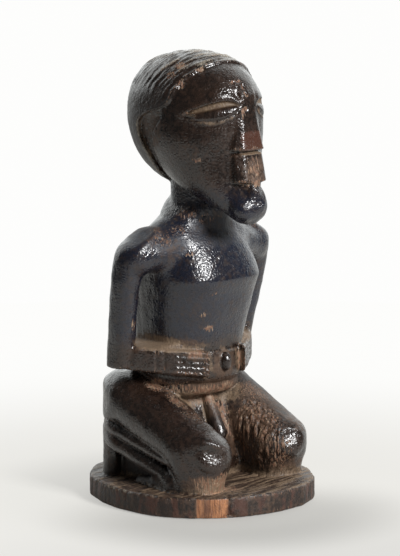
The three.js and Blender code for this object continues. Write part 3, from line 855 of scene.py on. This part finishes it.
def relief(p, n):
    """How far the finished surface stands out of the plain form, in mm."""
    x, y, z = p
    body = ramp(8.6, 9.6, z)
    smooth_front = ramp(4, -6, y) * ramp(60, 64, z) * ramp(104, 100, z)
    d = 0.22 * LARGE(p) * body
    cut = np.minimum(CUTS.nearest(p) / 0.7, 1.2) ** 2 - 0.6
    d = d + 0.17 * cut * body * (1 - 0.75 * smooth_front) * (1 - 0.5 * ramp(108, 114, z))
    d = d + (0.06 * GRAIN(p) + 0.03 * MOTTLE(p)) * body
    flank = ramp(-8, 0, y) * ramp(60, 66, z) * ramp(100, 92, z)
    d = d + 0.11 * CHATTER(p) * flank
    d = d + hair_relief(p)
    split = 0.32 * SPLINTER(p) - 0.6 * ramp(0.05, 0.6, SPLIT(p)) + 0.1 * SPECK(p)
    d = d + torn_at(p) * split
    fibres = SPLINTER((x + z, 0.6 * (y - z), y))
    d = d + frayed_at(p) * (0.14 * SPECK(p) + 0.22 * fibres - 0.1)
    chipped = most(p, CHIPPED)
    d = d - 0.5 * ramp(0.1, 0.5, chipped + 0.4 * MOTTLE(p) * (chipped > 0))
    d = d + fingers(p)
    row = (np.abs(x) - TOE_ROW["first"]) / TOE_ROW["pitch"]
    toes = bump(row - np.round(row), 0.15) * (y > TOE_ROW["from_y"]) * ramp(15, 12, z) * body
    d = d - 0.5 * toes
    d = d + base_relief(p, n)
    d = d - 0.7 * blob(p, *NICK)
    for facet in FACETS:
        d = d + tilted(p, *facet)
    under = ramp(1.0, 0.3, z) * ramp(-0.6, -0.9, n[2])
    return d * (1 - under) - under * 0.12 * (1 + STROKE((x / 2.2, y / 20, z)))


# Wood worn bare: centre, half sizes and strength, as in the next three lists
BARE = (
    ((-8.1, -12.5, 66.7), (2.6, 3, 1.7), 0.85),
    ((-11.5, -12.7, 72.1), (2.0, 3, 1.3), 0.5),
    ((-8.4, -15.4, 80.4), (1.5, 3, 1.3), 0.45),
    ((-16.5, -10.3, 95.5), (2.4, 3, 0.9), 0.65),
    ((-32, 4.3, 68.7), (1.8, 2.4, 3.0), 0.6),
    ((-16.6, -14.4, 131.1), (3.0, 3, 1.0), 0.75),
    ((-13.9, -2.5, 165.4), (3.5, 3.5, 2), 0.7),
    ((-17.5, -1.0, 162.0), (3.0, 3.0, 2), 0.6),
    ((-3.4, -24.9, 148.6), (1.5, 2.5, 2.4), 0.6),
    ((-0.5, -27.6, 128), (5.5, 3.4, 5.4), 0.45),
    ((-1, -28, 122), (7, 4, 1.6), 0.5),
    ((-22, 2.0, 45.0), (5, 8, 3), 0.7),
    ((-15, -2.0, 44.0), (8, 8, 4), 0.5),
    ((-20, -7, 39.5), (4, 9, 5), 0.6),
    ((-6, -6, 40), (9, 8, 7), 0.8),
    ((3, -6, 40), (10, 8, 7), 0.8),
    ((19, -13, 40), (9, 14, 6), 0.35),
    ((-20, -16, 37), (7, 8, 6), 0.3),
    ((6.5, -5, 30), (4, 6, 12), 0.65),
    ((9.3, -11.3, 53), (2.6, 4, 5.5), 0.7),
    ((-14, -11, 57.5), (5, 4, 2.6), 0.7),
    ((-25, -29, 12.5), (9, 9, 3.6), 0.4),
    ((-14, -27, 11), (10, 8, 6), 0.75),
    ((-23, -30, 11), (10, 8, 4), 0.55),
    ((-19, -31, 12.5), (8, 5, 5), 0.8),
    ((15, -27, 17), (7, 6, 10), 0.4),
    ((18, 24, 160), (9, 10, 7), 0.5),
    ((31, 6, 97), (7, 7, 6), 0.5),
    ((-12, 26, 44), (9, 6, 7), 0.45),
    ((14, 30, 38), (8, 7, 8), 0.45),
    ((28, 8, 12), (6, 14, 4), 0.45),
)
DUSTY_LEDGE = (((-15, 4, 61), (19, 22, 7), 1.0), ((15, 4, 61), (19, 22, 7), 0.8))
DUSTY = DUSTY_LEDGE + (
    ((0, -4, 40), (24, 18, 16), 0.9),
    ((-19, 6, 139), (7, 12, 16), 0.75),
    ((19, 6, 139), (7, 12, 16), 0.75),
    ((0, -14, 53), (14, 8, 9), 0.8),
    ((-20, -30, 10), (20, 14, 8), 1.0),
    ((20, -27, 10), (14, 12, 5), 0.7),
    ((-8, -4, 106), (16, 12, 7), 0.4),
    ((0, 0, 8.5), (46, 48, 3.0), 0.8),
    ((0, -27, 133.3), (8, 5, 1.4), 1.0),
)
# brown wood that the oil hasn't blackened
BROWNED = (
    ((0, -13, 52), (9, 8, 9), 0.8),
    ((0, -6, 42), (22, 16, 9), 0.8),
    ((19, -12, 33), (15, 18, 14), 0.6),
    ((-14, -11, 57), (8, 6, 4), 0.7),
    ((-14, 4, 61.5), (19, 22, 3), 0.9),
    ((-24, -27, 12), (14, 14, 5), 0.75),
    ((20, -26, 12), (12, 12, 6), 0.6),
    ((-19, 6, 141), (8, 12, 12), 0.55),
    ((19, 6, 141), (8, 12, 12), 0.55),
    ((-30, 24, 16), (9, 9, 12), 0.35),
    ((30, 24, 16), (9, 9, 12), 0.5),
    ((0, -28, 127), (9, 6, 8), 0.7),
    ((-0.5, -8.5, 34), (5, 6, 7), 0.8),
    ((-21, -5, 97.5), (9, 7, 7), 0.4),
    ((-16, -8, 134), (9, 12, 12), 0.25),
    ((13, -14, 24), (12, 16, 16), 0.9),
    ((6, -19, 24), (7, 9, 11), 0.9),
    ((18, -14, 40), (12, 18, 8), 0.7),
    ((24, -24, 27), (9, 9, 8), 0.6),
    ((-13, -27, 11), (9, 8, 5), 0.8),
    ((0, 30, 40), (26, 12, 10), 0.4),
)
# dust that lies before the right knee
DUST_HEAP = ((-19, -29, 10.5), (15, 10, 5.5))
# spots that stay dark and glossy: centre, half sizes and strength
POLISHED = (((0.2, -14.2, 53), (3.2, 3.6, 4.6), 1.0), ((-0.5, -9, 29), (4, 5, 7), 0.15))
# spots that stay matt: centre, half sizes, where they are full, and strength
MATT = (
    ((-3, -9.5, 103.5), (15, 8, 9), 1.0, 1.2),
    ((-21, -5, 98.5), (9, 7, 6), 1.0, 1.2),
    ((20, -10, 38), (18, 28, 14), 0.8, 0.9),
    ((-27, 0, 105), (15, 13, 9), 1.0, 0.9),
    ((-0.5, -8.5, 33), (4, 5, 7), 0.5, 0.7),
    ((-31, 8, 10), (14, 18, 8), 0.4, 1.0),
)
MASKS = ("bare", "dust", "lid", "blue_sheen", "brown", "red", "orange", "ridge", "pale_and_sheen", "recess_shade", "rough")


def strongest(p, spots):
    return np.maximum.reduce([weight * ramp(0, 1, blob(p, at, half)) for at, half, weight in spots])


def orange_wood(p, n):
    """The rim's one bright facet, with darker bands."""
    x, y, z = p
    angle = np.arctan2(y, x) - ORANGE_FACET
    orange = ramp(0.145, 0.125, np.abs(angle)) * ramp(9, 8, z) * ramp(0.7, 0.3, n[2])
    orange = 0.93 * orange * (1 - 0.65 * bump(angle + 0.055, 0.045) * ramp(-0.6, 0.2, CHATTER(p)))
    return orange * (1 - 0.5 * ramp(0.2, 0.6, PATCH((x * 1.5, y * 1.5, z * 0.7))))


def masks(p, n, groove, hollow, ridge):
    """How far each of MASKS holds at each point, from 0 to 1, as columns."""
    x, y, z = p
    behind = behind_hairline(x, y, z)
    hair = hair_share(behind, z)
    crown = hair * ramp(156, 165, z)
    on_base = base_share(z)
    facing_up = ramp(0.5, 0.9, n[2])
    top = on_base * facing_up
    rim = on_base * ramp(0.7, 0.3, n[2])
    torn, fray, streaks = torn_at(p), frayed_at(p), combed(p)
    polished = ramp(0, 0.25, np.maximum.reduce([weight * blob(p, *spot) for *spot, weight in POLISHED]))
    # the upper lid and the dust under the lower one
    _, h, full, up, down, ball_top = eye_place(np.abs(x), z)
    open_here = full**0.3 * ramp(0, -6, y)
    lid = ramp(up + 0.2, up - 0.3, h) * ramp(ball_top - 0.2, ball_top + 0.3, h) * open_here
    low_lid = bump(h + down + 0.1, 0.8) * open_here

    splinters = ramp(0.0, 0.5, SPLINTER(p) - 0.7 * ramp(0, 0.6, SPLIT(p)))
    ragged = bump(behind + 0.5 * PATCH(p) - 0.8, 0.5) * ramp(150, 156, z)
    bare = [
        strongest(p, BARE),
        0.28 * fray,
        torn * (0.22 + 0.55 * splinters),
        0.3 * ridge,
        crown * ramp(0.2, 0.7, streaks) * 0.6,
        0.5 * ramp(0.1, 0.5, most(p, CHIPPED)),
        0.45 * ragged,
    ]
    bare = np.maximum.reduce(bare) * (1 - polished)

    dusty = strongest(p, DUSTY)
    dust = [
        ramp(0.1, 0.7, hollow) * (0.1 + 0.9 * dusty),
        ramp(0.06, 0.35, groove) * 0.5 * dusty,
        dusty * facing_up * 0.85,
        0.5 * low_lid,
        1.4 * strongest(p, DUSTY_LEDGE) * ramp(0.15, 0.5, n[2]),
        0.8 * blob(p, *DUST_HEAP),
    ]
    between_strokes = 0.1 + 0.9 * ramp(-0.25, 0.35, strokes(p))
    side = 0.7 + 0.3 * ramp(-25, 15, x)
    dust = np.maximum.reduce(dust) * (1 - top) + top * side * between_strokes
    dust = dust * (1 - polished)

    # a painted blue reflection over the blackened trunk and neck
    blue_sheen = ramp(58, 66, z) * ramp(125, 114, z) * (0.85 + 0.3 * LARGE(p))
    brown = np.maximum(strongest(p, BROWNED), rim * (0.38 + 0.25 * CHATTER(p) + 0.3 * LARGE(p)))
    brown = np.maximum(brown, 0.5 * top) * (1 - polished)
    nose_foot = ramp(142.5, 140.5, z) * ramp(133.5, 135, z) * ramp(-24.2, -25.6, y)
    red = nose_foot * ramp(6, 4.5, np.abs(x))
    red = np.maximum(red, 0.75 * rim * ramp(-0.2, 0.5, PATCH((x, y, z * 0.3))))
    # pale end grain on the crown with a painted sheen on the top of the head, the ear's rim line as a
    # painted highlight, and scuffs on the base's rim
    ear_rim_highlight = bump(behind - 0.3, 0.5) * ramp(120, 126, z) * ramp(152, 148, z)
    scuff = on_base * ramp(6.5, 7.6, z) * ramp(0.99, 0.8, n[2]) * blob(p, SCUFFED_RIM, (14, 30, 5))
    pale_and_sheen = [
        crown * ramp(158, 168, z) * (0.22 + 0.42 * ramp(-0.1, 0.5, streaks)),
        0.7 * ear_rim_highlight,
        0.8 * scuff * ramp(-0.1, 0.4, CHIP(p)),
    ]
    # painted shade in the hollow under the right thigh, away from the base
    recess_shade = ramp(0.3, 0.9, hollow) * (1 - dusty) * ramp(-20, -24, x) * ramp(40, 30, z) * (1 - on_base)
    matt_hair = hair * ramp(159, 151, z) * (0.55 + 0.45 * ramp(8, 2, y))
    rough = [torn * 0.5, fray * 0.4, matt_hair * 0.8, rim, 0.7 * top]
    rough += [weight * ramp(0, end, blob(p, at, half)) for at, half, end, weight in MATT]
    pale_and_sheen, rough = np.maximum.reduce(pale_and_sheen), np.maximum.reduce(rough)
    found = (bare, dust, lid, blue_sheen, brown, red, orange_wood(p, n), ridge, pale_and_sheen, recess_shade, rough)
    return np.clip(np.stack(found, 1), 0, 1)


def quad_mesh(name, points, quads):
    mesh = bpy.data.meshes.new(name)
    mesh.vertices.add(len(points))
    mesh.vertices.foreach_set("co", points.astype(np.float32).ravel())
    mesh.loops.add(quads.size)
    mesh.loops.foreach_set("vertex_index", quads.astype(np.int32).ravel())
    mesh.polygons.add(len(quads))
    mesh.polygons.foreach_set("loop_start", np.arange(0, quads.size, 4, dtype=np.int32))
    mesh.update(calc_edges=True)
    mesh.validate()
    return mesh


def thin_out(item, share):
    thin = item.modifiers.new("thin", "DECIMATE")
    thin.ratio = share
    thin.use_collapse_triangulate = True
    bpy.context.view_layer.objects.active = item
    bpy.ops.object.modifier_apply(modifier=thin.name)


def vectors(collection, name):
    values = np.empty(len(collection) * 3, np.float32)
    collection.foreach_get(name, values)
    return values.reshape(-1, 3).astype(float)


def carved():
    """The figure with its tool marks, as a mesh thinned to the triangles allowed."""
    points, quads = nets(settled(sampled()))
    points = onto_surface(points)
    normals = gradient(points)
    normals = normals / np.maximum(np.linalg.norm(normals, axis=1, keepdims=True), 1e-6)
    height = spread(lambda p, n: relief(list(p.T), list(n.T)), points, normals)
    points = points + normals * height[:, None]
    points[:, 2] = np.maximum(points[:, 2], 0)
    middle = (points[:, :2].min(0) + points[:, :2].max(0)) / 2
    name = "power_figure_carved"
    item = bpy.data.objects.new(name, quad_mesh(name, points, quads))
    bpy.context.collection.objects.link(item)
    if len(quads) * 2 > TRIANGLES:
        thin_out(item, TRIANGLES / (len(quads) * 2))
    mesh = item.data
    points = vectors(mesh.vertices, "co")
    finish = finish_of(points, vectors(mesh.vertex_normals, "vector"))
    for mask, values in zip(MASKS, finish.T):
        attribute = mesh.attributes.new(mask, "FLOAT", "POINT")
        attribute.data.foreach_set("value", values.astype(np.float32))
    points[:, :2] -= middle
    points[:, 2] -= points[:, 2].min()
    # the finished surface stays inside the block it was cut from
    room = 0.9999 * np.array(cad_box[1]) / MM
    points *= np.minimum(1, room / np.abs(points).max(0))
    mesh.vertices.foreach_set("co", (points * MM).astype(np.float32).ravel())
    mesh.polygons.foreach_set("use_smooth", np.ones(len(mesh.polygons), bool))
    mesh.update()
    return item


# how far outside and inside the surface the form is felt for, in mm
NEAR, FAR, WITHIN = 1.6, 5.0, 1.4


def finish_of(points, normals):
    """The masks at each point, with how hollow, ridged or grooved the form is there."""
    here = distance(points)
    near = distance(points + normals * NEAR)
    far = distance(points + normals * FAR)
    inner = distance(points - normals * WITHIN)
    hollow = np.clip(1 - near / NEAR, 0, 1) * 0.6 + np.clip(1 - far / FAR, 0, 1) * 0.7
    ridge = np.clip((inner - here + 1.32) / 0.8, 0, 1)
    groove = np.clip(-here, 0, 1)

    def work(p, n, *form):
        return masks(list(p.T), list(n.T), *form)

    return spread(work, points, normals, groove, hollow, ridge)


# Material
class Graph:
    """Short calls for building a node tree."""

    def __init__(self, owner):
        owner.use_nodes = True
        self.tree = owner.node_tree

    def put(self, socket, value):
        if hasattr(value, "is_output"):
            self.tree.links.new(value, socket)
        else:
            socket.default_value = value

    def fill(self, item, values):
        for key, value in values.items():
            self.put(item.inputs[key], value)

    def node(self, kind, inputs=(), **settings):
        """A node with its settings, and its inputs by name or else in their order."""
        item = self.tree.nodes.new(kind)
        for key, value in settings.items():
            setattr(item, key, value)
        self.fill(item, inputs if isinstance(inputs, dict) else dict(enumerate(inputs)))
        return item

    def attribute(self, name):
        return self.node("ShaderNodeAttribute", attribute_name=name).outputs["Fac"]

    def place(self, stretch=(1, 1, 1)):
        where_at = self.node("ShaderNodeTexCoord").outputs["Object"]
        if stretch == (1, 1, 1):
            return where_at
        return self.node("ShaderNodeMapping", dict(Vector=where_at, Scale=stretch)).outputs["Vector"]

    def noise(self, size_mm, detail=4.0, stretch=(1, 1, 1), distortion=0.0, rough=0.55):
        inputs = dict(Vector=self.place(stretch), Scale=1 / (size_mm * MM), Detail=detail)
        inputs.update(Roughness=rough, Distortion=distortion)
        return self.node("ShaderNodeTexNoise", inputs).outputs["Fac"]

    def cracks(self, size_mm, bend_mm):
        """How far the edge of a cell is, between cells that a noise bends."""
        place = self.place()
        wave = self.node("ShaderNodeTexNoise", dict(Vector=place, Scale=0.7 / (size_mm * MM)))
        steps = (wave.outputs["Color"], (bend_mm * MM,) * 3, place)
        bent = self.node("ShaderNodeVectorMath", steps, operation="MULTIPLY_ADD").outputs["Vector"]
        inputs = dict(Vector=bent, Scale=1 / (size_mm * MM))
        return self.node("ShaderNodeTexVoronoi", inputs, feature="DISTANCE_TO_EDGE").outputs["Distance"]

    def span(self, value, low, high, start=0.0, end=1.0):
        inputs = (value, low, high, start, end)
        return self.node("ShaderNodeMapRange", inputs, interpolation_type="SMOOTHSTEP").outputs["Result"]

    def maths(self, operation, a, b=0.0, c=0.0, clamp=False):
        return self.node("ShaderNodeMath", (a, b, c), operation=operation, use_clamp=clamp).outputs["Value"]

    def times(self, a, b):
        return self.maths("MULTIPLY", a, b)

    def measure(self, operation, place, other=(0, 0, 0)):
        """A length, a distance or a dot product."""
        return self.node("ShaderNodeVectorMath", (place, other), operation=operation).outputs["Value"]

    def mix(self, amount, a, b):
        item = self.node("ShaderNodeMix", data_type="RGBA")
        a, b = [colour if hasattr(colour, "is_output") else (*colour, 1) for colour in (a, b)]
        self.fill(item, dict(Factor=amount, A=a, B=b))
        return item.outputs["Result"]

    def blend(self, amount, a, b):
        """A mix of two shaders."""
        return self.node("ShaderNodeMixShader", (amount, a, b)).outputs[0]


BLACK_BROWN = (0.0080, 0.0048, 0.0037)
DARK_BROWN = (0.019, 0.0100, 0.0066)
BROWN = (0.078, 0.045, 0.028)
# black wood with a painted bluish reflection
BLUE_SHEEN_BLACK = (0.0064, 0.0092, 0.0195)
RED_BROWN = (0.062, 0.024, 0.015)
RUST = (0.19, 0.088, 0.050)
TAN = (0.20, 0.115, 0.067)
FIBRE = (0.34, 0.245, 0.165)
# pale wood, also the painted sheen on the crown and the painted highlight on the ear's rim
PALE_AND_SHEEN = (0.33, 0.285, 0.225)
ORANGE_WOOD = (0.42, 0.185, 0.080)
ORANGE_DARK = (0.18, 0.070, 0.032)
DUST = (0.235, 0.165, 0.105)
DUST_DARK = (0.12, 0.078, 0.048)
MOTTLED = (0.031, 0.0155, 0.0095)
LID = (0.17, 0.115, 0.068)
LID_DARK = (0.10, 0.062, 0.036)
FLOOR = (0.66, 0.645, 0.61, 1)
FLOOR_NEAR = (0.84, 0.83, 0.795)
FLOOR_FAR = (0.98, 0.98, 0.965)
SURROUND = (0.985, 0.985, 0.975, 1)
SKYLIGHT = (0.97, 1.0, 0.99, 1)


def broken(g, name, noise, hard, reach):
    """Breaks a soft mask up into the shapes of a noise."""
    mask = g.attribute(name)
    value = g.maths("MULTIPLY_ADD", g.maths("SUBTRACT", noise, 0.5), reach, mask)
    return g.times(g.span(value, 0.5 - hard, 0.5 + hard), g.span(mask, 0.0, 0.2))


def wood():
    material = bpy.data.materials.new("wood")
    g = Graph(material)
    shader = g.tree.nodes["Principled BSDF"]
    broad = g.noise(9, 5, distortion=0.6)
    mottle = g.noise(1.8, 6, rough=0.65)
    grain = g.noise(0.45, 5, stretch=(1, 1, 0.09))
    fibre = g.noise(0.6, 5, stretch=(1, 1, 0.2), distortion=0.5)

    # the painted blue reflection over the trunk and neck, broken by mottle
    blue_sheen = g.times(g.attribute("blue_sheen"), g.span(mottle, 0.75, 0.4, 0.6, 1))
    mottled = g.times(g.span(mottle, 0.42, 0.70, 0, 0.8), g.span(blue_sheen, 0.2, 0.9, 1.0, 0.35))
    brown = broken(g, "brown", mottle, 0.3, 1.3)
    red = broken(g, "red", mottle, 0.3, 1.0)
    rubbed = g.times(g.attribute("ridge"), g.span(mottle, 0.4, 0.65, 0.1, 0.7))
    dust = broken(g, "dust", mottle, 0.35, 1.6)
    lid = g.attribute("lid")
    bare = broken(g, "bare", fibre, 0.15, 3.2)
    # pale end grain and scuffs, with a painted sheen on the crown and a painted highlight on the ear's rim
    pale_and_sheen = broken(g, "pale_and_sheen", fibre, 0.3, 1.2)
    worn = g.mix(g.span(grain, 0.38, 0.62), TAN, FIBRE)
    worn = g.mix(g.span(mottle, 0.38, 0.58, 0, 0.9), worn, RUST)
    orange = g.mix(g.span(grain, 0.35, 0.6), ORANGE_DARK, ORANGE_WOOD)
    orange = g.mix(g.span(mottle, 0.45, 0.7, 0, 0.6), orange, RUST)
    layers = (
        # oil-blackened wood, browner where it is thin, blue-black over the trunk and neck, where the blue
        # is a painted reflection
        (g.span(broad, 0.35, 0.7), DARK_BROWN),
        (blue_sheen, BLUE_SHEEN_BLACK),
        (mottled, MOTTLED),
        (g.times(brown, 0.85), BROWN),
        (g.times(red, 0.85), RED_BROWN),
        (rubbed, BROWN),
        # dust and grease in the hollows
        (g.times(dust, 0.85), g.mix(g.span(grain, 0.35, 0.65), DUST_DARK, DUST)),
        (g.times(lid, 0.9), g.mix(g.span(mottle, 0.35, 0.65), LID, LID_DARK)),
        # torn and rubbed places show the fibre
        (g.times(bare, 0.85), worn),
        # pale end grain and scuffs, with a painted sheen and highlight on the head
        (g.times(pale_and_sheen, 0.8), PALE_AND_SHEEN),
        (g.attribute("orange"), orange),
        (g.span(grain, 0.6, 0.78, 0, 0.6), BLACK_BROWN),
        # painted shade in the hollow under the right thigh
        (g.attribute("recess_shade"), BLACK_BROWN),
    )
    colour = BLACK_BROWN
    for amount, layer in layers:
        colour = g.mix(amount, colour, layer)

    dull = bare
    for more in (dust, g.attribute("rough"), g.times(brown, 0.75), lid):
        dull = g.maths("MAXIMUM", dull, more)
    rough = g.maths("ADD", g.span(mottle, 0.3, 0.7, 0.21, 0.35), g.times(dull, 0.32), clamp=True)
    # crackled varnish, lumps, grain and fibre
    cells = g.span(g.cracks(1.25, 0.8), 0.0, 0.35)
    height = g.times(cells, g.span(broad, 0.35, 0.6, 0.4, 0.8))
    lumps = g.times(g.noise(2.6, 3), 1.1)
    streaks = g.times(g.noise(0.9, 1, stretch=(1, 1, 0.1)), 0.8)
    for more in (lumps, streaks, g.times(dull, g.times(fibre, 1.6))):
        height = g.maths("ADD", height, more)
    inputs = dict(Strength=0.8, Distance=0.11 * MM, Height=height)
    bumps = g.node("ShaderNodeBump", inputs).outputs["Normal"]
    g.fill(shader, {"Base Color": colour, "Roughness": rough, "Normal": bumps, "IOR": 1.5})
    coat = g.span(dull, 0.5, 0.05, 0.0, 0.3)
    g.fill(shader, {"Coat Weight": coat, "Coat Roughness": 0.17, "Coat Normal": bumps})
    return material


figure_piece = carved()
figure_piece.data.materials.append(wood())
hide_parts("power_figure")
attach(figure_piece, "root")


# Studio: a pale floor that fades into a white surround, a soft window, a faint fill, darkness in front
FLOOR_RADIUS = 0.45
FLOOR_SIDES = 48
FLOOR_DROP = 0.0001
SHADOW_AT = (-0.012, -0.0235, 0)
FORWARD = (-0.42, -0.91, 0)
SKY_STRENGTH = 1.75
LEAST_STRENGTH = 0.085


def floor_mesh():
    turns = [2 * math.pi * i / FLOOR_SIDES for i in range(FLOOR_SIDES)]
    rim = [(FLOOR_RADIUS * math.cos(t), FLOOR_RADIUS * math.sin(t), 0) for t in turns]
    faces = [(0, 1 + i, 1 + (i + 1) % FLOOR_SIDES) for i in range(FLOOR_SIDES)]
    mesh = bpy.data.meshes.new("floor")
    mesh.from_pydata([(0, 0, 0)] + rim, [], faces)
    return mesh


def studio():
    floor = bpy.data.objects.new("floor", floor_mesh())
    bpy.context.collection.objects.link(floor)
    floor.location.z = -FLOOR_DROP
    material = bpy.data.materials.new("floor")
    g = Graph(material)
    shader = g.tree.nodes["Principled BSDF"]
    g.fill(shader, {"Base Color": FLOOR, "Roughness": 0.85, "Specular IOR Level": 0.2})
    place = g.place()
    far = g.measure("LENGTH", place)
    shade = g.mix(g.span(far, 0.07, 0.26), FLOOR_NEAR, FLOOR_FAR)
    # a soft shadow at the foot of the base, and a floor that darkens toward the front
    beside = g.measure("DISTANCE", place, SHADOW_AT)
    toward = g.measure("DOT_PRODUCT", place, FORWARD)
    foot = g.times(g.span(beside, 0.036, 0.080, 0.4, 0.0), g.span(toward, -0.015, 0.045))
    ahead = g.times(g.span(toward, 0.02, 0.13, 0.0, 0.14), g.span(far, 0.16, 0.36, 1.0, 0.0))
    shade = g.mix(g.maths("ADD", foot, ahead), shade, (0, 0, 0))
    glow = g.node("ShaderNodeEmission", dict(Color=shade))
    lit = g.maths("ADD", g.span(far, 0.045, 0.10, 0.6, 0.96), g.span(far, 0.15, 0.32, 0.0, 0.04))
    seen = g.node("ShaderNodeLightPath").outputs["Is Camera Ray"]
    share = g.times(lit, g.span(seen, 0.0, 1.0, 0.12, 1.0))
    surface = g.blend(share, shader.outputs[0], glow.outputs[0])
    g.put(g.tree.nodes["Material Output"].inputs["Surface"], surface)
    floor.data.materials.append(material)


def world():
    space = bpy.data.worlds.new("studio")
    bpy.context.scene.world = space
    g = Graph(space)
    g.tree.nodes.clear()
    place = g.node("ShaderNodeTexCoord").outputs["Generated"]
    a = math.radians(CAMERA["azimuth"])
    strength = SKY_STRENGTH
    # the light comes from behind the figure and from above
    for way, low, high in (((-math.sin(a), math.cos(a), 0.2), 0.2, 0.95), ((0, 0, 1), -0.45, 0.25)):
        strength = g.times(g.span(g.measure("DOT_PRODUCT", place, way), low, high), strength)
    strength = g.maths("ADD", strength, LEAST_STRENGTH)
    lit = g.node("ShaderNodeBackground", dict(Color=SKYLIGHT, Strength=strength)).outputs[0]
    shown = g.node("ShaderNodeBackground", dict(Color=SURROUND)).outputs[0]
    seen = g.node("ShaderNodeLightPath").outputs["Is Camera Ray"]
    g.node("ShaderNodeOutputWorld", dict(Surface=g.blend(seen, lit, shown)))


def window(name, azimuth, elevation, away, size, power):
    data = bpy.data.lights.new(name, "AREA")
    data.shape = "RECTANGLE"
    data.size, data.size_y = size
    data.energy = power
    item = bpy.data.objects.new(name, data)
    bpy.context.collection.objects.link(item)
    way = way_to(azimuth, elevation)
    item.location = Vector((0, 0, 0.09)) + way * away
    item.rotation_euler = way.to_track_quat("Z", "Y").to_euler()
    item.visible_camera = False


studio()
world()
window("key", CAMERA["azimuth"] + 44, elevation=30, away=1.1, size=(0.3, 0.3), power=17.0)
window("fill", CAMERA["azimuth"] - 120, elevation=30, away=1.3, size=(0.5, 0.8), power=0.8)

scene = bpy.context.scene
scene.view_settings.view_transform = "Standard"
